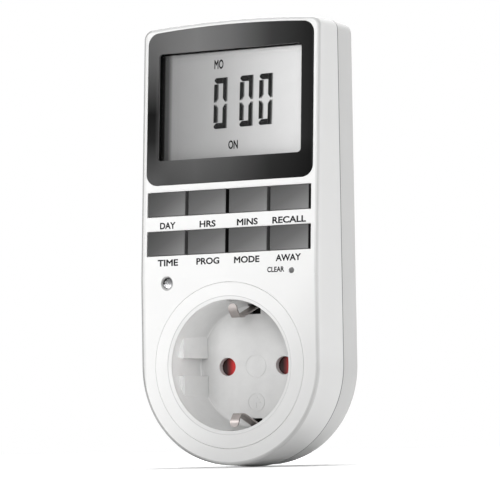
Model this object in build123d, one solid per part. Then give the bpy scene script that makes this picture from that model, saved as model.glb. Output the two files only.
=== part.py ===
from build123d import *

import os
from math import atan, atan2, cos, degrees, hypot, radians, sin, sqrt, tan

# Plug-in digital timer switch: a plug behind, a socket well in front, and a clock with
# keys above them. Millimetres. +Z is up, +X is to the right seen from the front, and +Y
# goes back towards the wall. The origin is the centre of the plug's end face.

# ---- Mains interface: pins, plug body and socket well ----
PIN_SPACING = 19.0
PIN_R = 2.4
PIN_LENGTH = 19.0
PIN_TIP = 1.5
BOSS_R = 18.5
BOSS_DEPTH = 17.5
BOSS_WALL = 2.6
BOSS_ROUND = 0.8
WELL_R = 19.45
WELL_FLOOR_R = 18.5
WELL_DEPTH = 17.5
WELL_WALL_R = 21.5
WELL_FLOOR = 2.0
WELL_ROUND = 1.0
RIM_R = 20.5
RIM_SLOPE = 0.6
FLANGE_R = 24.5
FLANGE = 1.3
PIN_HOLE_R = 2.75
GUIDE_FRONT_X = 17.2
GUIDE_FLOOR_X = 16.05
GUIDE_START = 4.2
GUIDE_WIDTH = 5.3
GUIDE_CUT = 2.0
MARK_R = 3.5
EARTH_MARK_R = 2.8
EARTH_MARK_Z = -10.8
MARK_LINE = 0.25
MARK_HEIGHT = 0.15
EARTH_MARK_BARS = (3.0, 2.0, 1.0)
EARTH_MARK_STEP = 0.7
EARTH_MARK_STEM = 1.8

# ---- Case ----
HALF_WIDTH = 30.0
SIDE_DRAFT = 0.6
TOP_Z = 103.5
TOP_ARCH_R = 310.0
TOP_CORNER_R = 3.4
FACE_ROUND = 1.0
FRONT_DEPTH = 15.9
REAR_INSET = 0.4
REAR_DRAFT = 0.5
BACK_ROUND = 1.0
WALL = 2.0
TILT = 3.5
TILT_START_Z = 26.0
SHADOW_GAP = 0.5
LIP = 0.9
LIP_HEIGHT = 1.5
FIT = 0.1
CUT = 1.0

# ---- Display ----
BEZEL_SIDE = 1.7
BEZEL_TOP = 1.9
BEZEL_CORNER_R = 3.6
BEZEL_THICK = 1.3
BEZEL_PROUD = 0.3
BEZEL_FRAME = 3.8
BEZEL_HEAD = 7.4
BEZEL_FOOT = 7.3
OPENING_R = 1.2
SKIRT = 1.9
SKIRT_DEPTH = 1.8
WINDOW = 0.8
CELL_BORDER = 1.4
CELL_GAP = 1.5
CELL = 1.6
HOLDER_WALL = 1.3
HOLDER_PLATE = 0.6
ZEBRA_HEIGHT = 2.4

# ---- Keys ----
KEY_LOW_Z = 36.8
KEY_ROW_PITCH = 11.75
KEY_SLOT_HEIGHT = 7.5
KEY_SLOT_MARGIN = 2.7
KEY_GAP = 1.0
KEY_CLEARANCE = 0.15
KEY_PROUD = 0.5
KEY_FLANGE = 0.7
KEY_FLANGE_THICK = 1.0
KEY_TRAVEL = 0.8
DISPLAY_LIFT = 2.1
MAT = 1.0
DOME_SPARE = 1.0
DOME_R = 3.2
DOME_TOP_R = 2.2

# ---- Display board and what it carries ----
DISPLAY_BOARD = 1.2
BOARD_EDGE_GAP = 0.6
LED_SIDE = 9.7
LED_Z = 25.0
LED_R = 1.5
LED_FLANGE_R = 1.9
LED_FLANGE = 1.0
LED_SINK = 0.4
RESET_SIDE = 8.9
RESET_Z = 27.1
RESET_HOLE_R = 0.9
RESET_TRAVEL = 0.5
RESET_FLANGE_R = 1.7
RESET_STEM_R = 0.8
RESET_RECESS = 0.6
SWITCH = 4.2
SWITCH_HEIGHT = 2.0
CHIP = 14.0
CHIP_THICK = 1.4
CRYSTAL_R = 1.0
CRYSTAL_LENGTH = 6.0

# ---- Main board and what it carries ----
MAIN_BOARD = 1.6
MAIN_BOARD_SIDE = 9.7
MAIN_BOARD_LIFT = 3.2
MAIN_BOARD_LOW_Z = 33.5
MAIN_BOARD_HEAD = 7.5
BOARD_SCREW_SIDE = 2.2
BOARD_SCREW_END = 2.4
RELAY_LENGTH = 28.4
RELAY_ROOM = 0.8
RELAY_SHELL = 0.6
RELAY_BASE = 1.0
RELAY_Z = 54.2
YOKE_IRON = 1.2
YOKE_HALF = 3.4
YOKE_END = 2.5
COIL_LENGTH = 14.0
COIL_FLANGE = 0.6
COIL_GAP = 0.2
KNIFE_GAP = 0.3
POLE_PROUD = 0.2
ARMATURE = 1.0
ARMATURE_GAP = 0.35
RELAY_BLADE = 0.4
RELAY_CONTACT_R = 0.9
RELAY_CONTACT = 1.1
RELAY_CONTACT_GAP = 0.9
FILM_CAP_LENGTH = 17.5
FILM_CAP_ROOM = 1.7
FILM_CAP_Z = 66.0
CAN_R = 4.0
CAN_LENGTH = 12.0
CAN_Z = 49.0
CELL_R = 7.8
CELL_THICK = 5.4
CELL_HEAD = 17.9
DISC_R = 3.7
DISC_THICK = 3.4
DISC_Z = 42.0
DIODE_R = 1.35
DIODE_LENGTH = 5.2
DIODE_Z = 73.0
DIODE_SPACING = 3.9
RESISTOR_R = 1.6
RESISTOR_Z = 55.0
RESISTOR_SPACING = 6.0
LEAD_R = 0.35
LEAD_REACH = 2.0
LEAD_LIFT = 0.3
TRANSISTOR_R = 2.3
TRANSISTOR_LENGTH = 4.4
TRANSISTOR_LIFT = 2.6
TRANSISTOR_Z = 74.0
TRANSISTOR_LEAD = 0.5
TRANSISTOR_SPACING = 1.27
LINK_SPACING = 2.54
LINK_PINS = 6
LINK_HEAD = 12.0
LINK_PIN = 0.64
LINK_BAR = 2.5

# Places and widths across the main board, as shares of its half width.
RELAY_SHARE = 0.212
RELAY_WIDTH_SHARE = 0.62
FILM_CAP_SHARE = -0.65
FILM_CAP_WIDTH_SHARE = 0.542
CAN_SHARE = -0.65
CELL_SHARE = -0.552
DISC_SHARE = 0.783
DIODE_SHARE = 0.197
RESISTOR_SHARE = 0.768
RESISTOR_WIDTH_SHARE = 0.222
TRANSISTOR_SHARE = 0.739
LINK_SHARE = 0.305
CORE_SHARE = 0.467

# ---- Screws and posts ----
CASE_SCREW_SIDE = 5.4
POST_R = 2.4
WELL_TUBE_R = 3.6
CASE_HEAD_R = 2.7
CASE_HEAD_DEPTH = 6.0
CASE_SHANK_R = 1.4
CASE_SCREW_LENGTH = 12.0
CASE_HEAD = 2.0
BOARD_POST_R = 1.8
BOARD_SCREW_R = 0.9
BOARD_HEAD_R = 1.7
BOARD_HEAD = 1.1
BOARD_SCREW_LENGTH = 4.0
BOARD_POST_SIDE = 4.8
BOARD_POST_Z = 30.3
MID_POST_X = 8.0

# ---- Behind the well: shutter, carrier, contacts, earth ----
SHUTTER = 1.6
SHUTTER_GAP = 0.3
LOBE_R = 3.2
HUB_R = 3.6
PIVOT_R = 1.5
RUNNING = 0.06
SPRING_WIRE = 0.4
SPRING_R = 2.4
SPRING_TURNS = 3
SPRING_PITCH = 0.56
CARRIER = 4.4
CARRIER_EAR = 1.2
CARRIER_ROOM = 2.1
EAR_X = 14.5
EAR_Z = 11.5
EAR_R = 2.4
EAR_SCREW_BITE = 2.0
TOWER_WALL = 0.9
SLEEVE = 0.8
SLEEVE_LENGTH = 11.0
SLEEVE_SLIT = 0.8
STRIP = 0.8
STRIP_WIDTH = 3.0
BUS_X = 10.0
LOAD_X = 5.8
BUS_GAP = 2.25
RISER_ROOM = 1.6
TAB_RISE = 3.0
PIN_HEAD_R = 3.5
PIN_HEAD = 1.7
PIN_COLLAR_R = 3.0
PIN_COLLAR_BITE = 0.5
CLIP = 0.5
CLIP_WIDTH = 2.9
CLIP_APEX_Z = 14.3
CLIP_APEX_DEPTH = 6.0
CLIP_SWING = 4.0
CLIP_SLOT_WIDTH = 3.9
CLIP_SLOT_HEAD = 1.0
CLIP_SLOT_Z = 15.6
CLIP_SHAPE = ((-2.7, 3.9), (-2.8, 2.2), (-0.8, 0.1), (1.5, 0.2))
CLIP_TAIL_RUN = 3.6
CLIP_TAIL_RISE = 1.6
CLIP_BENDS = (1.6, 0.9, 1.2, 1.2)
ROOT_Z = 19.2
ROOT_R = 0.7
ROOT_GAP = 0.5
YOKE_WIDTH = 5.0
YOKE_LEG_ROOM = 1.9
YOKE_MOUTH = 0.9
EARTH_STRIP = 0.7
EARTH_STRIP_WIDTH = 5.4
EARTH_RECESS = 1.5
EARTH_SLOT_LENGTH = 3.0
EARTH_LAP = 0.6
EARTH_BEND = 1.0
EARTH_BOW = 0.5
EARTH_BOW_START = 5.0
EARTH_BOW_END = 4.0
EARTH_HOLE_SIDE = 5.9
EARTH_HOLE_R = 2.45
EARTH_SLEEVE = 0.6

# ---- Worked out from the sizes above ----
# The case is as deep as the well and what is stacked behind its floor.
FLOOR_BACK = WELL_DEPTH + WELL_FLOOR
SHUTTER_FRONT = FLOOR_BACK + SHUTTER_GAP
SHUTTER_BACK = SHUTTER_FRONT + SHUTTER
CARRIER_FRONT = SHUTTER_BACK + SHUTTER_GAP
CARRIER_BACK = CARRIER_FRONT + CARRIER
BACK_INNER = CARRIER_FRONT + CARRIER_EAR + CARRIER_ROOM
BODY_DEPTH = BACK_INNER + WALL
END_DEPTH = BODY_DEPTH + BOSS_DEPTH
PIN_X = PIN_SPACING / 2
CAVITY_HALF = HALF_WIDTH - SIDE_DRAFT - WALL
BOSS_INNER_R = BOSS_R - BOSS_WALL
EARTH_SLOT = BODY_DEPTH + WALL / 2
LED_X = LED_SIDE - HALF_WIDTH
RESET_X = HALF_WIDTH - RESET_SIDE
BOARD_POST_X = HALF_WIDTH - BOARD_POST_SIDE
CASE_SCREW_X = HALF_WIDTH - CASE_SCREW_SIDE
CASE_SCREW_45 = (WELL_WALL_R + HALF_WIDTH) / 2 / sqrt(2)

KEY_HIGH_Z = KEY_LOW_Z + KEY_ROW_PITCH
KEY_SEAT = WALL + FIT
DOME_TOP = KEY_SEAT + KEY_FLANGE_THICK + FIT
BOARD_DEPTH = DOME_TOP + KEY_TRAVEL + DOME_SPARE + MAT
SLOT_HALF = HALF_WIDTH - KEY_SLOT_MARGIN
KEY_PITCH = 2 * SLOT_HALF / 4
BEZEL_HALF = HALF_WIDTH - SIDE_DRAFT - BEZEL_SIDE
BEZEL_LOW_Z = KEY_HIGH_Z + KEY_SLOT_HEIGHT / 2 + DISPLAY_LIFT
BEZEL_HIGH_Z = TOP_Z - BEZEL_TOP
OPENING_HALF = BEZEL_HALF - BEZEL_FRAME
OPENING_LOW_Z = BEZEL_LOW_Z + BEZEL_FOOT
OPENING_HIGH_Z = BEZEL_HIGH_Z - BEZEL_HEAD
CELL_FRONT = SKIRT_DEPTH + CELL_GAP
CELL_BACK = CELL_FRONT + CELL
MAIN_FRONT = BACK_INNER - MAIN_BOARD_LIFT - MAIN_BOARD
MAIN_BACK = MAIN_FRONT + MAIN_BOARD
MAIN_BOARD_HALF = HALF_WIDTH - MAIN_BOARD_SIDE
RELAY_X = RELAY_SHARE * MAIN_BOARD_HALF
RELAY_WIDTH = RELAY_WIDTH_SHARE * MAIN_BOARD_HALF
FILM_CAP_X = FILM_CAP_SHARE * MAIN_BOARD_HALF
FILM_CAP_WIDTH = FILM_CAP_WIDTH_SHARE * MAIN_BOARD_HALF
CAN_X = CAN_SHARE * MAIN_BOARD_HALF
CELL_X = CELL_SHARE * MAIN_BOARD_HALF
CELL_Z = TOP_Z - CELL_HEAD
DISC_X = DISC_SHARE * MAIN_BOARD_HALF
DIODE_X = DIODE_SHARE * MAIN_BOARD_HALF
RESISTOR_X = RESISTOR_SHARE * MAIN_BOARD_HALF
RESISTOR_LENGTH = RESISTOR_WIDTH_SHARE * MAIN_BOARD_HALF
TRANSISTOR_X = TRANSISTOR_SHARE * MAIN_BOARD_HALF
LINK_X = LINK_SHARE * MAIN_BOARD_HALF
LINK_Z = TOP_Z - LINK_HEAD
BUS_DEPTH = BACK_INNER - BUS_GAP - STRIP / 2
RISER_Z = sqrt(BOSS_INNER_R**2 - (BUS_X + STRIP_WIDTH / 2) ** 2) - RISER_ROOM - STRIP / 2
SLEEVE_R = PIN_R + SLEEVE
YOKE_DEPTH = CARRIER_BACK + STRIP + FIT + STRIP / 2
HEAD_FRONT = END_DEPTH - BOSS_WALL - PIN_HEAD
YOKE_LEG_Z = BOSS_INNER_R - YOKE_LEG_ROOM
EARTH_HOLE_Z = BOSS_INNER_R - EARTH_HOLE_SIDE
ROOT_DEPTH = FLOOR_BACK + ROOT_R + ROOT_GAP
CLIP_SLOT_START = WELL_DEPTH - CLIP_SLOT_HEAD
CLIP_TIP_DEPTH = CLIP_APEX_DEPTH + CLIP_SHAPE[0][0]
CLIP_TIP_Z = CLIP_APEX_Z + CLIP_SHAPE[0][1]
CLIP_SWEEP_Z = CLIP_TIP_Z + CLIP + (ROOT_DEPTH - CLIP_TIP_DEPTH) * sin(radians(CLIP_SWING))
MID_POST_Z = (KEY_HIGH_Z + KEY_SLOT_HEIGHT / 2 + OPENING_LOW_Z - CELL_BORDER - HOLDER_WALL) / 2
WIDE = 4 * TOP_Z


# ---- Places and simple solids ----
def y_at(depth):
    """Y of a depth behind the lower front face."""
    return depth - END_DEPTH


def front_plane(depth):
    """Upright plane at a depth, drawn on in X and Z, facing the front."""
    return Plane(origin=(0, y_at(depth), 0), x_dir=(1, 0, 0), z_dir=(0, -1, 0))


def face_plane(depth):
    """Plane of the leaning face, moved in by a depth, facing the front."""
    lean = radians(TILT)
    start = Vector(0, y_at(0), TILT_START_Z)
    inward = Vector(0, cos(lean), -sin(lean))
    return Plane(origin=start + inward * depth, x_dir=(1, 0, 0), z_dir=-inward)


def climb(z):
    """Distance up the leaning face of a height Z on it."""
    return (z - TILT_START_Z) / cos(radians(TILT))


def face_depth(z):
    """Depth of the leaning face at a height Z."""
    return (z - TILT_START_Z) * tan(radians(TILT))


def slab(sketch, near, far):
    """Upright sketch filled from one depth to a greater one."""
    return extrude(front_plane(far) * sketch, far - near)


def face_slab(sketch, near, far):
    """Sketch on the leaning face filled from one depth below it to a greater one."""
    return extrude(face_plane(far) * sketch, far - near)


def block(x0, x1, near, far, z0, z1):
    return Pos(0, 0, z0) * slab(Pos((x0 + x1) / 2, (z1 - z0) / 2) * Rectangle(x1 - x0, z1 - z0), near, far)


def face_block(x0, x1, z0, z1, near, far):
    low, high = climb(z0), climb(z1)
    sketch = Pos((x0 + x1) / 2, (low + high) / 2) * Rectangle(x1 - x0, high - low)
    return face_slab(sketch, near, far)


def rod(x, z, r, near, far):
    return slab(Pos(x, z) * Circle(r), near, far)


def face_rod(x, z, r, near, far):
    return face_slab(Pos(x, climb(z)) * Circle(r), near, far)


def strip(points, thick, width, x, bend):
    """Sheet-metal strip: (depth, Z) points bent in the plane across X, centred on x."""
    path = FilletPolyline(*[(y_at(d), z) for d, z in points], radius=bend)
    band = make_face(offset(path, thick / 2, side=Side.BOTH).edges())
    return Pos(x, 0, 0) * extrude(Plane.YZ * band, width / 2, both=True)


def upside_down(part):
    """The same piece turned half a turn about the socket's axis."""
    return Rot(0, 180, 0) * part


def other_side(part):
    return mirror(part, about=Plane.YZ)


# ---- Case outline and the two shells' blocks ----
def outline(inset):
    """Front outline of the case with its edge moved in."""
    half = HALF_WIDTH - inset
    crown = TOP_Z - inset
    shoulder = crown - half**2 / (2 * TOP_ARCH_R)
    edges = [
        Line((-half, 0), (-half, shoulder)),
        ThreePointArc((-half, shoulder), (0, crown), (half, shoulder)),
        Line((half, shoulder), (half, 0)),
        ThreePointArc((half, 0), (0, -half), (-half, 0)),
    ]
    face = make_face(edges)
    corners = face.vertices().sort_by(Axis.Y)[-2:]
    return fillet(corners, max(TOP_CORNER_R - inset, FACE_ROUND))


def front_block(inset, skin):
    """Front shell's outer form, moved in by inset at the sides and by skin at the face."""
    draft = degrees(atan(SIDE_DRAFT / FRONT_DEPTH))
    form = extrude(front_plane(FRONT_DEPTH) * outline(inset), FRONT_DEPTH - skin, taper=draft)
    ahead = Pos(0, TOP_Z, WIDE / 2) * Box(WIDE, 2 * TOP_Z + WALL, WIDE)
    return form - face_plane(skin) * ahead


def rear_block(inset, near, far):
    """Rear shell's outer form between two depths."""
    back = Plane(origin=(0, y_at(near), 0), x_dir=(-1, 0, 0), z_dir=(0, 1, 0))
    return extrude(back * outline(REAR_INSET + inset), far - near, taper=REAR_DRAFT)


def case_screw_places():
    places = [(side * CASE_SCREW_X, MID_POST_Z) for side in (-1, 1)]
    return places + [(side * CASE_SCREW_45, -CASE_SCREW_45) for side in (-1, 1)]


def board_screw_places():
    places = [(side * BOARD_POST_X, BOARD_POST_Z) for side in (-1, 1)]
    return places + [(side * MID_POST_X, MID_POST_Z) for side in (-1, 1)]


def main_screw_places():
    return [
        (side * (MAIN_BOARD_HALF - BOARD_SCREW_SIDE), z)
        for side in (-1, 1)
        for z in (MAIN_BOARD_LOW_Z + BOARD_SCREW_END, TOP_Z - MAIN_BOARD_HEAD - BOARD_SCREW_END)
    ]


def carrier_screw_places():
    return [(sx * EAR_X, sz * EAR_Z) for sx in (-1, 1) for sz in (-1, 1)]


def opening(margin):
    """Display opening on the leaning face, made larger all round by a margin."""
    low, high = climb(OPENING_LOW_Z), climb(OPENING_HIGH_Z)
    plate = Rectangle(2 * (OPENING_HALF + margin), high - low + 2 * margin)
    return Pos(0, (low + high) / 2) * fillet(plate.vertices(), max(OPENING_R + margin, 2 * FIT))


def bezel_outline(margin):
    """Surround's outline on the leaning face: square foot, arched head, round corners."""
    half = BEZEL_HALF + margin
    low, crown = climb(BEZEL_LOW_Z) - margin, climb(BEZEL_HIGH_Z) + margin
    shoulder = crown - half**2 / (2 * TOP_ARCH_R)
    edges = [
        Line((-half, low), (-half, shoulder)),
        ThreePointArc((-half, shoulder), (0, crown), (half, shoulder)),
        Line((half, shoulder), (half, low)),
        Line((half, low), (-half, low)),
    ]
    face = make_face(edges)
    return fillet(face.vertices(), BEZEL_CORNER_R + margin)


# ---- Front cover ----
def make_front_cover():
    cover = front_block(0, 0)
    faces = [f for f in cover.faces() if f.normal_at().Y < -0.9]
    crease = [e for e in faces[0].edges() if any(e.is_same(o) for o in faces[1].edges())]
    rim = [e for f in faces for e in f.edges() if not any(e.is_same(c) for c in crease)]
    cover = fillet(rim, FACE_ROUND)
    cover -= front_block(WALL, WALL)
    inside = front_block(WALL / 2, WALL / 2)
    posts = [rod(x, z, POST_R, WALL / 2, FRONT_DEPTH) for x, z in case_screw_places()]
    posts += [face_rod(x, z, BOARD_POST_R, WALL / 2, BOARD_DEPTH) for x, z in board_screw_places()]
    for post in posts:
        cover += post & inside
    lip_room = outline(WALL - LIP - FIT) - outline(WALL + REAR_INSET + FIT)
    cover -= slab(lip_room, FRONT_DEPTH - LIP_HEIGHT - FIT, FRONT_DEPTH)
    for x, z in case_screw_places():
        cover -= rod(x, z, CASE_SHANK_R, FRONT_DEPTH - CASE_SCREW_LENGTH, FRONT_DEPTH)
    for x, z in board_screw_places():
        cover -= face_rod(x, z, BOARD_SCREW_R, BOARD_DEPTH - BOARD_SCREW_LENGTH, BOARD_DEPTH)
    cover -= rod(0, 0, WELL_WALL_R + FIT, -WALL, FRONT_DEPTH)
    cover -= rod(0, 0, FLANGE_R + FIT, -WALL, FLANGE)
    for z in (KEY_LOW_Z, KEY_HIGH_Z):
        low, high = z - KEY_SLOT_HEIGHT / 2, z + KEY_SLOT_HEIGHT / 2
        cover -= face_block(-SLOT_HALF, SLOT_HALF, low, high, -WALL, 2 * WALL)
    cover -= face_slab(bezel_outline(FIT), -WALL, BEZEL_THICK - BEZEL_PROUD)
    cover -= face_slab(opening(SKIRT + FIT), -WALL, 2 * WALL)
    cover -= face_rod(LED_X, LED_Z, LED_R + FIT, -WALL, 2 * WALL)
    sink = Cone(LED_R + FIT, LED_R + FIT + LED_SINK, LED_SINK)
    cover -= face_plane(LED_SINK) * Pos(LED_X, climb(LED_Z), LED_SINK / 2) * sink
    cover -= face_rod(RESET_X, RESET_Z, RESET_HOLE_R, -WALL, 2 * WALL)
    return cover


# ---- Rear cover with the plug body ----
def make_rear_cover():
    lip_front = FRONT_DEPTH - LIP_HEIGHT
    shell = rear_block(0, FRONT_DEPTH + SHADOW_GAP, BODY_DEPTH)
    back = shell.faces().sort_by(Axis.Y)[-1]
    shell = fillet(back.edges(), BACK_ROUND)
    shell += slab(outline(WALL - LIP), FRONT_DEPTH, FRONT_DEPTH + SHADOW_GAP)
    shell += slab(outline(WALL - LIP), lip_front, FRONT_DEPTH)
    shell -= rear_block(WALL, lip_front, BACK_INNER)
    boss = rod(0, 0, BOSS_R, BACK_INNER, END_DEPTH)
    shell += fillet(boss.faces().sort_by(Axis.Y)[-1].edges(), BOSS_ROUND)
    shell -= rod(0, 0, BOSS_INNER_R, BACK_INNER - WALL, END_DEPTH - BOSS_WALL)
    inside = rear_block(WALL / 2, lip_front, BODY_DEPTH)
    tubes = [rod(x, z, WELL_TUBE_R, FRONT_DEPTH, BODY_DEPTH) for x, z in case_screw_places()]
    tubes += [rod(x, z, BOARD_POST_R, MAIN_BACK, BODY_DEPTH) for x, z in main_screw_places()]
    for tube in tubes:
        shell += tube & inside
    shell -= rod(0, 0, WELL_WALL_R + FIT, FRONT_DEPTH, FLOOR_BACK + FIT)
    for x, z in case_screw_places():
        shell -= rod(x, z, CASE_HEAD_R + FIT, BODY_DEPTH - CASE_HEAD_DEPTH, BODY_DEPTH + WALL)
        shell -= rod(x, z, CASE_SHANK_R + FIT, FRONT_DEPTH, BODY_DEPTH)
    for x, z in main_screw_places():
        shell -= rod(x, z, BOARD_SCREW_R, MAIN_BACK, MAIN_FRONT + BOARD_SCREW_LENGTH)
    side = BOSS_R - GUIDE_CUT
    for sign in (-1, 1):
        shell -= rod(sign * PIN_X, 0, PIN_COLLAR_R + FIT, HEAD_FRONT, END_DEPTH + WALL)
        x0, x1 = sorted((sign * side, sign * BOSS_R * 2))
        shell -= block(x0, x1, BODY_DEPTH, END_DEPTH + WALL, -GUIDE_WIDTH / 2, GUIDE_WIDTH / 2)
        z0, z1 = sorted((sign * (BOSS_R - EARTH_RECESS), sign * BOSS_R * 2))
        half = EARTH_STRIP_WIDTH / 2 + 2 * FIT
        shell -= block(-half, half, EARTH_SLOT, END_DEPTH + WALL, z0, z1)
        z0, z1 = sorted((sign * YOKE_LEG_Z, sign * BOSS_R * 2))
        shell -= block(-half, half, EARTH_SLOT, EARTH_SLOT + EARTH_SLOT_LENGTH, z0, z1)
    shell -= rod(0, EARTH_HOLE_Z, EARTH_HOLE_R + EARTH_SLEEVE + FIT, HEAD_FRONT, END_DEPTH + WALL)
    return shell


# ---- Display: surround, pane, cell, holder, connector ----
def make_display_bezel():
    plate = face_slab(bezel_outline(0), -BEZEL_PROUD, BEZEL_THICK - BEZEL_PROUD)
    front = plate.faces().sort_by(Axis.Y)[0]
    plate = fillet(front.edges(), BEZEL_PROUD)
    plate += face_slab(opening(SKIRT), 0, SKIRT_DEPTH)
    return plate - face_slab(opening(0), -WALL, 2 * WALL)


def make_display_window():
    return face_slab(opening(-FIT), SKIRT_DEPTH - WINDOW, SKIRT_DEPTH)


def make_lcd_panel():
    return face_slab(opening(CELL_BORDER), CELL_FRONT, CELL_BACK)


def zebra_bar(margin):
    low = OPENING_LOW_Z - CELL_BORDER / 2
    half = OPENING_HALF - CELL_BORDER
    near, far = CELL_BACK, BOARD_DEPTH
    return face_block(-half - margin, half + margin, low - margin, low + ZEBRA_HEIGHT + margin, near, far)


def make_lcd_holder():
    frame = face_slab(opening(CELL_BORDER + HOLDER_WALL), WALL + FIT, BOARD_DEPTH)
    frame -= face_slab(opening(CELL_BORDER + FIT), 0, CELL_BACK)
    back = CELL_BACK + HOLDER_PLATE
    frame -= face_slab(opening(CELL_BORDER - HOLDER_WALL), back, BOARD_DEPTH + WALL)
    return frame - zebra_bar(FIT)


# ---- Keys and their mat ----
def key_x(column):
    return (column - 1.5) * KEY_PITCH


def make_key(column, z):
    width = KEY_PITCH - KEY_GAP
    height = KEY_SLOT_HEIGHT - 2 * KEY_CLEARANCE
    x, up = key_x(column), climb(z)
    cap = face_slab(Pos(x, up) * Rectangle(width, height), -KEY_PROUD, KEY_SEAT)
    edges = cap.faces().sort_by(Axis.Y)[0].edges()
    cap = fillet(edges, KEY_PROUD / 2)
    flange = Rectangle(width, height + 2 * (KEY_FLANGE + KEY_CLEARANCE))
    return cap + face_slab(Pos(x, up) * flange, KEY_SEAT, KEY_SEAT + KEY_FLANGE_THICK)


def make_keypad_mat():
    low = KEY_LOW_Z - KEY_SLOT_HEIGHT / 2 - KEY_FLANGE
    high = KEY_HIGH_Z + KEY_SLOT_HEIGHT / 2 + KEY_FLANGE
    half = SLOT_HALF - KEY_GAP
    mat = face_block(-half, half, low, high, BOARD_DEPTH - MAT, BOARD_DEPTH)
    height = BOARD_DEPTH - MAT - DOME_TOP
    for z in (KEY_LOW_Z, KEY_HIGH_Z):
        for column in range(4):
            place = Pos(key_x(column), climb(z), height / 2)
            mat += face_plane(BOARD_DEPTH - MAT) * place * Cone(DOME_R, DOME_TOP_R, height)
    return mat


# ---- Reset button, its switch, and the LED ----
def make_reset_button():
    button = face_rod(RESET_X, RESET_Z, RESET_HOLE_R - FIT, RESET_RECESS, KEY_SEAT)
    button += face_rod(RESET_X, RESET_Z, RESET_FLANGE_R, KEY_SEAT, KEY_SEAT + KEY_FLANGE_THICK)
    end = BOARD_DEPTH - SWITCH_HEIGHT + FIT
    return button + face_rod(RESET_X, RESET_Z, RESET_STEM_R, KEY_SEAT, end)


def make_reset_switch():
    near = BOARD_DEPTH - SWITCH_HEIGHT
    half = SWITCH / 2
    body = face_block(RESET_X - half, RESET_X + half, RESET_Z - half, RESET_Z + half, near, BOARD_DEPTH)
    dish = near + RESET_TRAVEL + 3 * FIT
    return body - face_rod(RESET_X, RESET_Z, RESET_STEM_R + 2 * FIT, near, dish)


def make_status_led():
    lens = face_rod(LED_X, LED_Z, LED_R, LED_R / 2, BOARD_DEPTH)
    dome = face_plane(LED_R / 2) * Pos(LED_X, climb(LED_Z)) * Sphere(LED_R)
    lens += dome
    return lens + face_rod(LED_X, LED_Z, LED_FLANGE_R, BOARD_DEPTH - LED_FLANGE, BOARD_DEPTH)


# ---- Display board ----
def link_pin(column, margin):
    half = LINK_PIN / 2 + margin
    x = LINK_X + (column - (LINK_PINS - 1) / 2) * LINK_SPACING
    near = face_depth(LINK_Z) + BOARD_DEPTH - LINK_PIN / 2
    return block(x - half, x + half, near, MAIN_BACK + LINK_PIN, LINK_Z - half, LINK_Z + half)


def make_display_board():
    half = CAVITY_HALF - BOARD_EDGE_GAP
    low = LED_Z - LED_FLANGE_R - BOARD_EDGE_GAP
    high = TOP_Z - WALL - SIDE_DRAFT - 2 * BOARD_EDGE_GAP
    far = BOARD_DEPTH + DISPLAY_BOARD
    board = face_block(-half, half, low, high, BOARD_DEPTH, far)
    corners = board.edges().filter_by(Axis((0, 0, 0), face_plane(0).z_dir))
    board = fillet(corners, TOP_CORNER_R - WALL)
    board -= rod(0, 0, WELL_WALL_R + BOARD_EDGE_GAP, 0, FRONT_DEPTH)
    gap = POST_R + BOARD_EDGE_GAP
    for side in (-1, 1):
        x0, x1 = sorted((side * (CASE_SCREW_X - gap), side * HALF_WIDTH))
        board -= face_block(x0, x1, MID_POST_Z - gap, MID_POST_Z + gap, 0, FRONT_DEPTH)
    for x, z in board_screw_places():
        board -= face_rod(x, z, BOARD_SCREW_R + FIT, BOARD_DEPTH - CUT, far + CUT)
    for column in range(LINK_PINS):
        board -= link_pin(column, FIT)
    return board


def make_controller_chip():
    near = BOARD_DEPTH + DISPLAY_BOARD
    z = (OPENING_LOW_Z + OPENING_HIGH_Z) / 2
    half = CHIP / 2
    chip = face_block(-half, half, z - half, z + half, near, near + CHIP_THICK)
    return chamfer(chip.faces().sort_by(Axis.Y)[-1].edges(), CHIP_THICK / 4)


def make_quartz_crystal():
    near = BOARD_DEPTH + DISPLAY_BOARD + CRYSTAL_R
    z = (OPENING_LOW_Z + OPENING_HIGH_Z) / 2 + CHIP / 2
    can = Pos(CHIP, climb(z), 0) * Rot(90, 0, 0) * Cylinder(CRYSTAL_R, CRYSTAL_LENGTH)
    return face_plane(near) * can


def pan_screw(head_r, head, shank_r, length):
    """Screw along +Z of its own frame: head behind the origin, shank ahead of it."""
    screw = Pos(0, 0, -head / 2) * Cylinder(head_r, head)
    screw = fillet(screw.faces().sort_by(Axis.Z)[0].edges(), head * 0.4)
    screw -= Pos(0, 0, -head) * Box(head_r * 1.2, head * 0.4, head)
    screw -= Pos(0, 0, -head) * Box(head * 0.4, head_r * 1.2, head)
    return screw + Pos(0, 0, (length - 4 * FIT) / 2) * Cylinder(shank_r, length - 4 * FIT)


def make_display_board_screws():
    seat = face_plane(BOARD_DEPTH + DISPLAY_BOARD)
    length = DISPLAY_BOARD + BOARD_SCREW_LENGTH - FIT
    screw = pan_screw(BOARD_HEAD_R, BOARD_HEAD, BOARD_SCREW_R, length)
    return Compound(children=[
        seat * Pos(x, climb(z), 0) * screw for x, z in board_screw_places()
    ])


# ---- Main board and its parts ----
def bus_slot(x, margin):
    half = STRIP_WIDTH / 2 + margin
    z = MAIN_BOARD_LOW_Z + TAB_RISE
    rise = STRIP / 2 + margin
    return block(x - half, x + half, MAIN_FRONT - CUT, MAIN_BACK + CUT, z - rise, z + rise)


def make_main_board():
    high = TOP_Z - MAIN_BOARD_HEAD
    board = block(-MAIN_BOARD_HALF, MAIN_BOARD_HALF, MAIN_FRONT, MAIN_BACK, MAIN_BOARD_LOW_Z, high)
    board = fillet(board.edges().filter_by(Axis.Y), 1.0)
    for x in (BUS_X, -BUS_X, LOAD_X):
        board -= bus_slot(x, FIT)
    for x, z in main_screw_places():
        board -= rod(x, z, BOARD_SCREW_R + FIT, MAIN_FRONT - CUT, MAIN_BACK + CUT)
    for column in range(LINK_PINS):
        board -= link_pin(column, FIT)
    return board


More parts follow.
